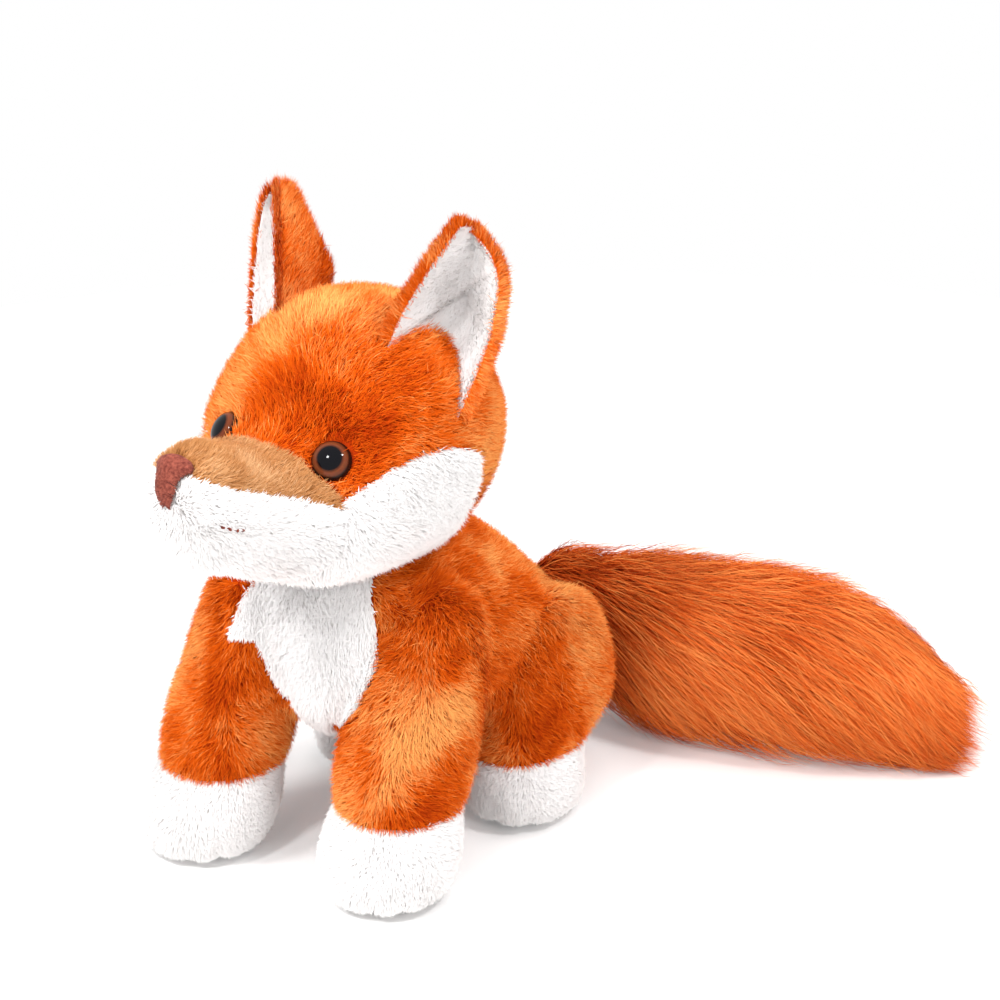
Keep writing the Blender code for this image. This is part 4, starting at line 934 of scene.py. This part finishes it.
# Triangles and directions of an open sheet, facing along or against a given direction
def sheetSkin(grid, toward):
    rowsUp, columns = grid.shape[:2]
    r, c = np.meshgrid(np.arange(rowsUp - 1), np.arange(columns - 1), indexing="ij")
    a = (r * columns + c).ravel()
    above = a + 1 + columns
    faces = np.concatenate([np.stack([a, a + 1, above], axis=1), np.stack([a, above, a + columns], axis=1)])
    skin = withNormals(grid.reshape(-1, 3), faces)
    if (skin["normals"] @ toward).mean() < 0.0:
        skin["normals"], skin["faces"] = -skin["normals"], skin["faces"][:, ::-1]
    return skin


foldPlan = {"from": (-0.0166, 0.0036), "to": (-0.0004, 0.0359), "depth": 0.0022, "width": 0.0022,
            "steepness": 3.0, "edge": 0.006, "end": 1.15, "endSpan": 0.4}


# The flap of lining that folds over along the ear's inner side: a rise toward the front above a slanting line,
# a logistic curve of the distance from it, which fades out at the line's top and toward the ear's edge
def foldStep(points, side):
    origin, across, behind, upward = earFrame(side)
    x, z = (points - origin) @ across, (points - origin) @ upward
    start, line = np.array(foldPlan["from"]), np.array(foldPlan["to"]) - np.array(foldPlan["from"])
    reach = math.hypot(*line)
    over = ((z - start[1]) * line[0] - (x - start[0]) * line[1]) / reach
    along = ((x - start[0]) * line[0] + (z - start[1]) * line[1]) / reach**2
    steep = np.clip(over / foldPlan["width"] * foldPlan["steepness"], -30.0, 30.0)
    inner = readTable(earTable, z / earPlan["height"], 1)[0] * earPlan["width"] + earPlan["edge"]
    rise = 1.0 / (1.0 + np.exp(-steep)) * np.clip((x - inner) / foldPlan["edge"], 0.0, 1.0)
    return foldPlan["depth"] * rise * np.clip((foldPlan["end"] - along) / foldPlan["endSpan"], 0.0, 1.0)


earCoats = {
    "back": {"density": 3.8, "length": 0.0048, "uneven": 0.3, "rootAngle": 48.0, "tipAngle": 16.0,
             "segments": 2, "width": 0.00028, "stray": 0.40, "tuft": 0.0020, "gather": 0.30, "roll": 0.6,
             "softness": 0.7, "sink": 0.0},
    "lining": {"density": 4.2, "length": 0.0026, "uneven": 0.25, "rootAngle": 36.0, "tipAngle": 10.0,
               "segments": 2, "width": 0.00036, "stray": 0.50, "tuft": 0.0016, "gather": 0.10, "roll": 0.2,
               "softness": 0.96, "sink": 0.0},
}
# The fringe on an ear's rim: strands for each place along it, spread out from a heart inside the ear
rimPlan = {"rows": 260, "columns": 12, "tipCopies": 3, "clear": -0.02, "strands": 16, "blur": 0.0008,
           "heartUp": 0.45, "heartIn": 0.09, "flatten": 0.6, "behind": 0.8, "out": 0.4, "up": 0.5,
           "tone": 0.10, "coat": {"length": 0.0040, "rootAngle": 14.0, "tipAngle": 4.0, "stray": 0.40}}
for number, (label, side) in enumerate(sideSigns.items()):
    origin, across, behind, upward = earFrame(side)
    ear = f"{label}_ear"
    for layer, cloth, facing in (("back", "orange", 1.0), ("lining", "white", -1.0)):
        coat = earCoats[layer]
        skin = sheetSkin(earSheet(side, 70, 40), behind * facing)
        fold = foldStep(skin["points"], side)[:, None] if layer == "lining" else 0.0
        skin = withNormals(skin["points"] + skin["normals"] * (earPlan["lift"] + fold), skin["faces"])
        pick = outsideHead(middles(skin)) > earPlan["inside"]
        name = f"{ear}_{layer}"
        under = backing(name + "Cloth", skin, pick, 0.0, earPlan["wall"])
        settle(under, knit[cloth], ear, [name])
        roots = scatter(skin, coat["density"], 500 + 10 * number + (layer == "back"), pick)
        place = roots["points"]
        comb = turned(np.tile(upward, (len(place), 1)), roots["normals"], ripple(place, earPlan["swirl"]))
        fur = growNap(name + "Fur", roots, comb, coat, 520 + 10 * number, 1.0, paintedSheenTone(place))
        settle(fur, pile[cloth], ear)
    rim = earSheet(side, rimPlan["rows"], rimPlan["columns"])
    edge = np.concatenate([rim[:, 0], np.repeat(rim[-1], rimPlan["tipCopies"], axis=0), rim[::-1, -1]])
    edge = np.repeat(edge[outsideHead(edge) > rimPlan["clear"]], rimPlan["strands"], axis=0)
    points = edge + np.random.default_rng(540 + number).normal(size=edge.shape) * rimPlan["blur"]
    heart = (origin + rimPlan["heartUp"] * earPlan["height"] * upward
             - rimPlan["heartIn"] * earPlan["width"] * across)
    out = unit(points - heart - upward * ((points - heart) @ upward)[:, None] * rimPlan["flatten"])
    roots = {"points": points, "normals": unit(behind * rimPlan["behind"] + out * rimPlan["out"])}
    fur = growNap(ear + "RimFur", roots, out + rimPlan["up"] * upward,
                  {**earCoats["back"], **rimPlan["coat"]}, 560 + number, 1.0, rimPlan["tone"])
    settle(fur, pile["orange"], ear)
print("ears dressed")

# The tail: rows as for the lying forms; locks of long hair start on its core and end on its outer form
tailPlan = {
    "bearing": math.radians(67.0), "length": 0.178, "halfWidth": 0.036, "height": 0.078, "lowerShare": 0.5,
    "blunt": 0.960,
    "rows": [
        (-0.088, 0.00, 0.760, 0.000), (-0.074, 0.22, 0.760, 0.180), (-0.035, 0.40, 0.700, 0.320),
        (0.020, 0.42, 0.635, 0.415), (0.085, 0.43, 0.590, 0.470), (0.170, 0.66, 0.550, 0.510),
        (0.280, 0.90, 0.525, 0.525), (0.430, 0.98, 0.525, 0.525), (0.580, 1.00, 0.515, 0.515),
        (0.700, 0.97, 0.4925, 0.4925), (0.810, 0.86, 0.405, 0.405), (0.915, 0.68, 0.285, 0.285),
        (0.975, 0.44, 0.160, 0.150), (1.000, 0.00, 0.120, 0.000)],
}
tailTable = smoothRows(tailPlan["rows"], 400)
# Locks of long hair: how many, where they start and end along the tail, how far round and out they reach, and
# how much strands of one lock differ. Pairs are a middle and a spread, or the ends of a range. Strands that
# end deep inside the tail or start near its root are painted darker, painted shade; those reaching its outer
# form are painted lighter, painted light.
lockPlan = {
    "count": 1450, "strands": 12, "segments": 5, "width": 0.00036, "softness": 0.60, "roll": 0.7,
    "start": (-0.09, 0.90), "upper": 0.45, "upperSpread": 0.75, "reach": 0.30, "reachRange": (0.7, 1.25),
    "rootReach": 0.6, "end": (0.950, 0.022), "outerSpread": 0.035, "droop": 0.85, "fanOut": 0.26,
    "endLocks": 0.09, "endStart": (0.72, 0.86), "endInside": (0.15, 1.0), "endEnd": (0.975, 0.015),
    "strandStart": 0.02, "strandEnd": 0.026, "strandOuter": 0.03, "strandTurn": 0.06, "gather": 0.5,
    "lockTurn": 0.16, "first": -0.07, "bend": 0.38, "bendTurn": 0.3, "bendOut": (0.40, 0.62),
    "curl": 0.0016, "curlTurns": 7.0, "heart": 0.036, "lowest": 0.0004, "lowestSpread": 0.0012,
    "tone": 0.5, "toneSpread": 0.13, "paintedDepthShade": 0.4, "outerFrom": 0.75, "outerGain": 1.2,
    "outerRange": (-0.30, 0.25), "paintedRootShade": -0.22, "paintedRootShadeSpan": 0.10,
}
# The cloth tube under the locks: its share of the form, its ends, and where it starts to narrow
corePlan = {"share": 0.42, "swell": 0.10, "start": -0.06, "end": 0.95, "taper": 0.86, "close": 0.96,
            "rows": 60, "around": 40, "lower": 0.0005}


# From the tail's own frame, along Y, to the fox's: a turn by the bearing about the root
def tailToFox(points):
    c, s = math.cos(-tailPlan["bearing"]), math.sin(-tailPlan["bearing"])
    x, y, z = points[..., 0], points[..., 1], points[..., 2]
    return np.stack([x * c - y * s, tailRootY + x * s + y * c, z - corePlan["lower"]], axis=-1)


# A place in the tail: a share of its row's ellipse at a turn; the lower half is filled out toward a box, and
# past the blunt place the section stays as it is there
def tailPlace(along, turn, share):
    held = np.clip(along, tailPlan["rows"][0][0], tailPlan["blunt"])
    width, middle, half = readTable(tailTable, held, 1, 2, 3)
    spread = np.cos(turn)
    boxed = np.copysign(np.abs(spread) ** tailPlan["lowerShare"], spread)
    spread = np.where(np.sin(turn) < 0.0, boxed, spread)
    return np.stack([width * share * tailPlan["halfWidth"] * spread, along * tailPlan["length"],
                     tailPlan["height"] * (middle + half * share * np.sin(turn))], axis=-1)


# Locks: each strand is a curve with three control points, path = (1-t)^2 root + 2t(1-t) bend + t^2 tip, that
# also sinks round the sides by the droop. Strands of a lock start spread out and end close together. A few
# locks stand at the tail's end and fill it out from the middle to its outer form.
def growLocks(name, seed, outerRange, reachShare):
    dice = np.random.default_rng(seed)
    plan, count, segments = lockPlan, lockPlan["count"], lockPlan["segments"]

    def varied(spread, size):
        return spread * dice.normal(size=size)

    start = dice.uniform(*plan["start"], count)
    upper = dice.random(count) < plan["upper"]
    atEnd = dice.random(count) < plan["endLocks"]
    start = np.where(atEnd, dice.uniform(*plan["endStart"], count), start)
    inside = np.where(atEnd, dice.uniform(*plan["endInside"], count), 1.0)
    upperTurn = math.pi / 2.0 + varied(plan["upperSpread"], count)
    turn = np.where(upper & ~atEnd, upperTurn, dice.uniform(0.0, 2.0 * math.pi, count))
    reach = plan["reach"] * reachShare * dice.uniform(*plan["reachRange"], count)
    reach = reach * np.where(start < 0.0, plan["rootReach"], 1.0)
    end = np.minimum(start + reach, plan["end"][0] + varied(plan["end"][1], count))
    outer = (dice.uniform(*outerRange, count) + varied(plan["outerSpread"], count)) * inside
    end = np.where(atEnd, plan["endEnd"][0] + varied(plan["endEnd"][1], count), end)
    which = np.repeat(np.arange(count), plan["strands"])
    total = len(which)
    start = start[which] + varied(plan["strandStart"], total)
    end = end[which] + varied(plan["strandEnd"], total)
    outer = outer[which] + varied(plan["strandOuter"], total)
    rootTurn = turn[which] + varied(plan["fanOut"], total)
    tipTurn = rootTurn - plan["droop"] * np.cos(rootTurn) + varied(plan["strandTurn"], total)
    tipTurn = tipTurn + plan["gather"] * (turn[which] - rootTurn) + varied(plan["lockTurn"], count)[which]
    root = tailPlace(np.maximum(start, plan["first"]), rootTurn, corePlan["share"])
    bendAlong = start + plan["bend"] * (end - start)
    bendOut = plan["bendOut"][0] + plan["bendOut"][1] * outer
    bend = tailPlace(bendAlong, rootTurn + plan["bendTurn"] * (tipTurn - rootTurn), bendOut)
    tip = tailPlace(end, tipTurn, outer)
    t = (np.arange(segments + 1) / segments)[None, :, None]
    path = (1 - t) ** 2 * root[:, None] + 2 * t * (1 - t) * bend[:, None] + t**2 * tip[:, None]
    curl = plan["curl"] * np.sin(t * plan["curlTurns"] + dice.uniform(0, 6.28, total)[:, None, None])
    path = tailToFox(path + curl * dice.normal(size=(total, 1, 3)) * t)
    heart = np.stack([0.0 * bendAlong, bendAlong * tailPlan["length"], np.full(total, plan["heart"])], axis=-1)
    outward = unit(path[:, segments // 2] - tailToFox(heart))
    lowest = plan["lowest"] + plan["lowestSpread"] * dice.random((total, 1))
    path[:, :, 2] = np.maximum(path[:, :, 2], lowest)
    # Painted shade and light: darker for strands ending deep inside and near the root, lighter at the outer form
    depth = np.clip((outer - plan["outerFrom"]) * plan["outerGain"], *plan["outerRange"])
    near = plan["paintedRootShade"] * np.exp(-np.maximum(start, 0.0) / plan["paintedRootShadeSpan"])
    tone = plan["tone"] + varied(plan["toneSpread"], total) + varied(plan["toneSpread"], count)[which]
    tone = tone + depth * plan["paintedDepthShade"] + near
    return strandMesh(name, path, outward, plan["width"], plan["softness"], plan["roll"], tone, seed + 1)


# The cloth tube: rings of the tail's form that narrow to a point, share = sqrt(1 - close * taper^2), closed at
# both ends
def makeTailCloth():
    rows = np.linspace(corePlan["start"], corePlan["end"], corePlan["rows"])
    taper = np.clip((rows - corePlan["taper"]) / (corePlan["end"] - corePlan["taper"]), 0.0, 1.0)
    shares = (corePlan["share"] + corePlan["swell"]) * np.sqrt(1.0 - corePlan["close"] * taper**2)
    turn = roundTurn(corePlan["around"])
    rings = [tailPlace(np.full_like(turn, row), turn, share) for row, share in zip(rows, shares)]
    grid = tailToFox(np.stack(rings))
    ends = [np.broadcast_to(grid[k].mean(axis=0), (1, *grid.shape[1:])) for k in (0, -1)]
    grid = np.concatenate([ends[0], grid, ends[1]])
    faces = ringFaces(*grid.shape[:2])[:, ::-1]
    return closePoles(meshObject("tailCloth", grid.reshape(-1, 3) + foxMiddle, faces))


for name, seed, outerRange, reachShare in (("tailLocks", 71, (0.62, 0.96), 1.0),
                                           ("tailOuterLocks", 73, (0.88, 1.02), 0.8)):
    settle(growLocks(name, seed, outerRange, reachShare), pile["rust"], "tail")
settle(makeTailCloth(), knit["rust"], "tail", ["tail_cover"])
print("tail dressed")


# The back of an eye's dome: radius shares and places behind the rim, and the grid that the dome is made on
eyeBack = {"radii": [1.0, 0.94, 0.0], "places": [-0.0008, -0.0012, -0.0012], "rows": 28, "around": 64}


# Eyes: a dome of revolution; its radius share is kept as an attribute that draws pupil, iris and rim
def makeEye(label):
    origin, across, up, outward = eyeFrames[label]
    t = np.linspace(0.0, 1.0, eyeBack["rows"])
    shares = np.concatenate([np.sin(t * math.pi / 2.0), eyeBack["radii"]])
    height = np.concatenate([eyePlan["dome"] * np.cos(t * math.pi / 2.0), eyeBack["places"]]) - eyePlan["sink"]
    turn = roundTurn(eyeBack["around"])
    ring = np.cos(turn)[None, :, None] * across + np.sin(turn)[None, :, None] * up
    radius = eyePlan["radius"] * shares
    grid = origin + radius[:, None, None] * ring + height[:, None, None] * outward
    piece = meshObject(f"{label}_eyeDome", grid.reshape(-1, 3) + foxMiddle, ringFaces(*grid.shape[:2]))
    pointValue(piece.data, "radiusShare", np.repeat(radius / eyePlan["radius"], eyeBack["around"]))
    return closePoles(piece)


# The eye's colours by radius share: pupil, ring of brown with fine flecks, dark rim
def eyeMaterial():
    material, shader, add = newMaterial("brownEye")
    share = add("ShaderNodeAttribute", {}, attribute_name="radiusShare")
    place = add("ShaderNodeTexCoord", {})
    flecks = add("ShaderNodeTexNoise", {"Vector": place.outputs["Object"], "Scale": 900.0})
    shades = addRamp(add, share.outputs["Fac"], (
        (0.0, (0.003, 0.003, 0.005)), (1.0, (0.014, 0.007, 0.006)), (0.58, (0.003, 0.003, 0.005)),
        (0.63, (0.080, 0.020, 0.008)), (0.72, (0.200, 0.048, 0.017)), (0.84, (0.160, 0.040, 0.014)),
        (0.91, (0.020, 0.008, 0.005))))
    mix = add("ShaderNodeMix", {}, data_type="RGBA", blend_type="MULTIPLY")
    setInputs(mix, {"Factor": 0.35, "A": shades, "B": flecks.outputs["Color"]})
    setInputs(shader, {"Base Color": mix.outputs["Result"], "Roughness": 0.04, "Specular IOR Level": 0.16})
    return material


eyeFinish = eyeMaterial()
for label in sideSigns:
    settle(makeEye(label), eyeFinish, "head", [f"{label}_eye"])


# Thread: fine twisted ridges as bump, with slow colour drift
def threadMaterial():
    stops = ((0.34, (0.135, 0.026, 0.018)), (0.68, (0.330, 0.085, 0.055)))
    return grainMaterial("brownThread", "Noise", {"Scale": 900.0, "Detail": 4.0}, stops, (0.5, 0.0003),
                         {"Roughness": 0.60, "Specular IOR Level": 0.15, "Sheen Weight": 0.05})


# Tubes along many paths at once: a ring of points square to each path, in a frame of its outward direction,
# drawn in to a point at both ends
def tubes(name, paths, outward, radius, sides=6):
    count, steps = paths.shape[:2]
    along = unit(np.gradient(paths, axis=1))
    across = unit(np.cross(along, outward))
    up = np.cross(across, along)
    turn = roundTurn(sides)[:, None]
    width = np.full((count, steps), radius)
    width[:, [0, -1]] = 0.0
    ring = np.cos(turn) * across[:, :, None, :] + np.sin(turn) * up[:, :, None, :]
    ring = width[..., None, None] * ring
    points = (paths[:, :, None, :] + ring).reshape(-1, 3)
    faces = np.concatenate([ringFaces(steps, sides) + k * steps * sides for k in range(count)])
    return closePoles(meshObject(name, points + foxMiddle, faces))


# The nose: satin stitches side by side across the shield, bowed out over the muzzle's tip by sqrt(1 - mark^2)
# and tucked in at their ends
def makeNose():
    dice = np.random.default_rng(81)
    plan, count = nosePlan, nosePlan["stitches"]
    rows = np.linspace(0.0, 1.0, count)
    spread = readTable(plan["rows"], rows, 1)[0] * plan["halfWidth"]
    spread = spread * (1.0 + plan["uneven"] * dice.normal(size=count))
    height = plan["high"] - rows * (plan["high"] - plan["low"])
    mark = np.linspace(-1.0, 1.0, plan["steps"])
    x = spread[:, None] * mark
    z = height[:, None] - plan["bow"] * mark**2 + plan["slant"] * dice.normal(size=(count, 1)) * mark
    target = np.stack([x, np.full_like(x, headPlan["start"][1]), z], axis=-1)
    direction = unit(target - np.array(plan["core"]))
    ends = np.clip(plan["rounding"] * np.minimum(rows, 1.0 - rows), 0.0, 1.0) ** 0.5
    swell = plan["proud"] * np.sqrt(np.clip(1.0 - mark**2, 0.0, 1.0)) * ends[:, None]
    paths = onMuzzle(direction) + direction * (muzzleFill["depth"] - plan["sunk"] + swell)[..., None]
    return tubes("noseStitches", paths, direction, plan["thread"])


thread = threadMaterial()
settle(makeNose(), thread, "head", ["nose_patch"])


# The mouth: two plies twisted round the line from cheek to cheek, a turn apart by half, buried in the nap but
# for a few stitches
def makeMouth():
    plan, steps = mouthPlan, mouthPlan["steps"]
    half = np.linspace(plan["middle"], plan["reach"], steps)
    shares = np.concatenate([half[::-1], half])
    signs = np.repeat([-1.0, 1.0], steps)
    line = np.array([headPlace(a, 0.0) * [s, 1.0, 1.0] for a, s in zip(shares, signs)])
    out = np.array([headOutward(a, 0.0) * [s, 1.0, 1.0] for a, s in zip(shares, signs)])
    side = np.cross(unit(np.gradient(line, axis=0)), out)
    stitched = (shares > plan["stitched"][0]) & (shares < plan["stitched"][1])
    shown = stitched & (np.sin(shares * 2.0 * math.pi / plan["stitch"]) > plan["stitchLevel"])
    depth = np.where(shown, plan["shown"], plan["buried"]) - fillDepth(line)
    depth = np.convolve(np.pad(depth, 3, mode="edge"), np.full(7, 1.0 / 7.0), mode="valid")
    turn = np.linspace(0.0, plan["twists"] * 2.0 * math.pi, 2 * steps)[:, None]
    base = line - out * depth[:, None]
    paths = np.array([base + plan["twist"] * (np.cos(turn + start) * side + np.sin(turn + start) * out)
                      for start in (0.0, math.pi)])
    return tubes("mouthStitches", paths, np.broadcast_to(out, paths.shape), plan["thread"])


settle(makeMouth(), thread, "head", ["mouth_stitch"])
print("face dressed")


# Loose fibre or moulded plastic: a tangle of noise in colour and bump
def fibreMaterial(name, shade, scale, roughness, darker=0.8):
    stops = ((0.0, [value * darker for value in shade]), (1.0, shade))
    return grainMaterial(name, "Noise", {"Scale": scale, "Detail": 6.0, "Distortion": 2.0}, stops, (0.5, 0.001),
                         {"Roughness": roughness})


fibre = fibreMaterial("fibreFilling", (0.88, 0.88, 0.86), 160.0, 0.95)
washerFinish = fibreMaterial("washerPlastic", (0.82, 0.82, 0.80), 40.0, 0.42)
for name, node in frame["nodes"].items():
    if name.endswith("filling") or name.endswith("washer"):
        node.data.materials.clear()
        node.data.materials.append(fibre if name.endswith("filling") else washerFinish)

# Floor, light and camera. A lamp is given by place, size and power; the catch lamps alone show in a gloss.
stagePlan = {
    "floor": ((0.0, (0.93, 0.925, 0.92)), (1.0, (0.94, 0.935, 0.93))), "lift": 0.15, "reach": 0.75,
    "edges": 96, "worldStrength": 0.40, "aim": (0.0, 0.0, 0.10),
    "lamps": {"key": ((-0.55, -0.95, 1.05), 0.40, 9.5), "front": ((0.20, -1.20, 0.45), 0.50, 3.0),
              "side": ((1.05, -0.45, 0.75), 0.50, 4.0), "top": ((0.10, 0.35, 1.35), 0.80, 6.5),
              "catchLeft": ((-0.017, -0.708, 0.922), 0.13, 4.0),
              "catchRight": ((0.557, 0.040, 0.936), 0.13, 4.0)},
}


# A strength for what the camera or a gloss sees straight on, added to the base that all light has
def seenStrength(add, extra, base):
    path = add("ShaderNodeLightPath", {})
    rays = {0: path.outputs["Is Camera Ray"], 1: path.outputs["Is Glossy Ray"]}
    seen = add("ShaderNodeMath", rays, operation="MAXIMUM").outputs[0]
    return add("ShaderNodeMath", {0: seen, 1: extra, 2: base}, operation="MULTIPLY_ADD").outputs[0]


# A pale matt floor with faint grain; seen straight on or in a gloss it glows a little, so it stays white there
def floorMaterial():
    material = grainMaterial("paleFloor", "Noise", {"Scale": 6.0}, stagePlan["floor"], None,
                             {"Roughness": 0.9, "Specular IOR Level": 0.1})
    glow = seenStrength(nodeAdder(material.node_tree), stagePlan["lift"], 0.0)
    setInputs(material.node_tree.nodes["Principled BSDF"],
              {"Emission Color": (1.0, 1.0, 1.0, 1.0), "Emission Strength": glow})
    return material


# The floor is a round sheet: cosine and sine of a full turn, times its reach
def makeStage():
    turn = roundTurn(stagePlan["edges"])
    edge = np.stack([np.cos(turn), np.sin(turn), 0.0 * turn], axis=1) * stagePlan["reach"]
    floor = meshObject("floorSheet", edge, np.arange(stagePlan["edges"])[None])
    floor.data.materials.append(floorMaterial())
    world = bpy.data.worlds.new("studio")
    bpy.context.scene.world = world
    world.use_nodes = True
    base = stagePlan["worldStrength"]
    strength = seenStrength(nodeAdder(world.node_tree), 1.0 - base, base)
    setInputs(world.node_tree.nodes["Background"], {"Color": (1.0, 1.0, 1.0, 1.0), "Strength": strength})
    for name, (place, size, power) in stagePlan["lamps"].items():
        light = bpy.data.lights.new(name, "AREA")
        light.shape = "SQUARE"
        light.size = size
        light.energy = power
        lamp = bpy.data.objects.new(name, light)
        bpy.context.scene.collection.objects.link(lamp)
        lamp.location = place
        lamp.rotation_euler = (Vector(stagePlan["aim"]) - Vector(place)).to_track_quat("-Z", "Y").to_euler()
        lamp.visible_glossy = name.startswith("catch")


cameraPlan = {"bearing": math.radians(38.0), "height": math.radians(22.0), "distance": 1.0, "lens": 93.6,
              "film": 36.0, "target": (0.038, 0.0, 0.139)}


# The camera stands at its distance from the target, round by the bearing and up by the height
def makeCamera():
    bearing, height = cameraPlan["bearing"], cameraPlan["height"]
    back = Vector((math.sin(bearing) * math.cos(height), -math.cos(bearing) * math.cos(height), math.sin(height)))
    lens = bpy.data.cameras.new("photoView")
    lens.lens = cameraPlan["lens"]
    lens.sensor_width = cameraPlan["film"]
    lens.clip_start = 0.01
    camera = bpy.data.objects.new("photoView", lens)
    bpy.context.scene.collection.objects.link(camera)
    camera.location = Vector(cameraPlan["target"]) + Vector(foxMiddle) + back * cameraPlan["distance"]
    camera.rotation_euler = back.to_track_quat("Z", "Y").to_euler()
    bpy.context.scene.camera = camera


makeStage()
makeCamera()
bpy.context.scene.view_settings.view_transform = "Standard"
print("stage ready")
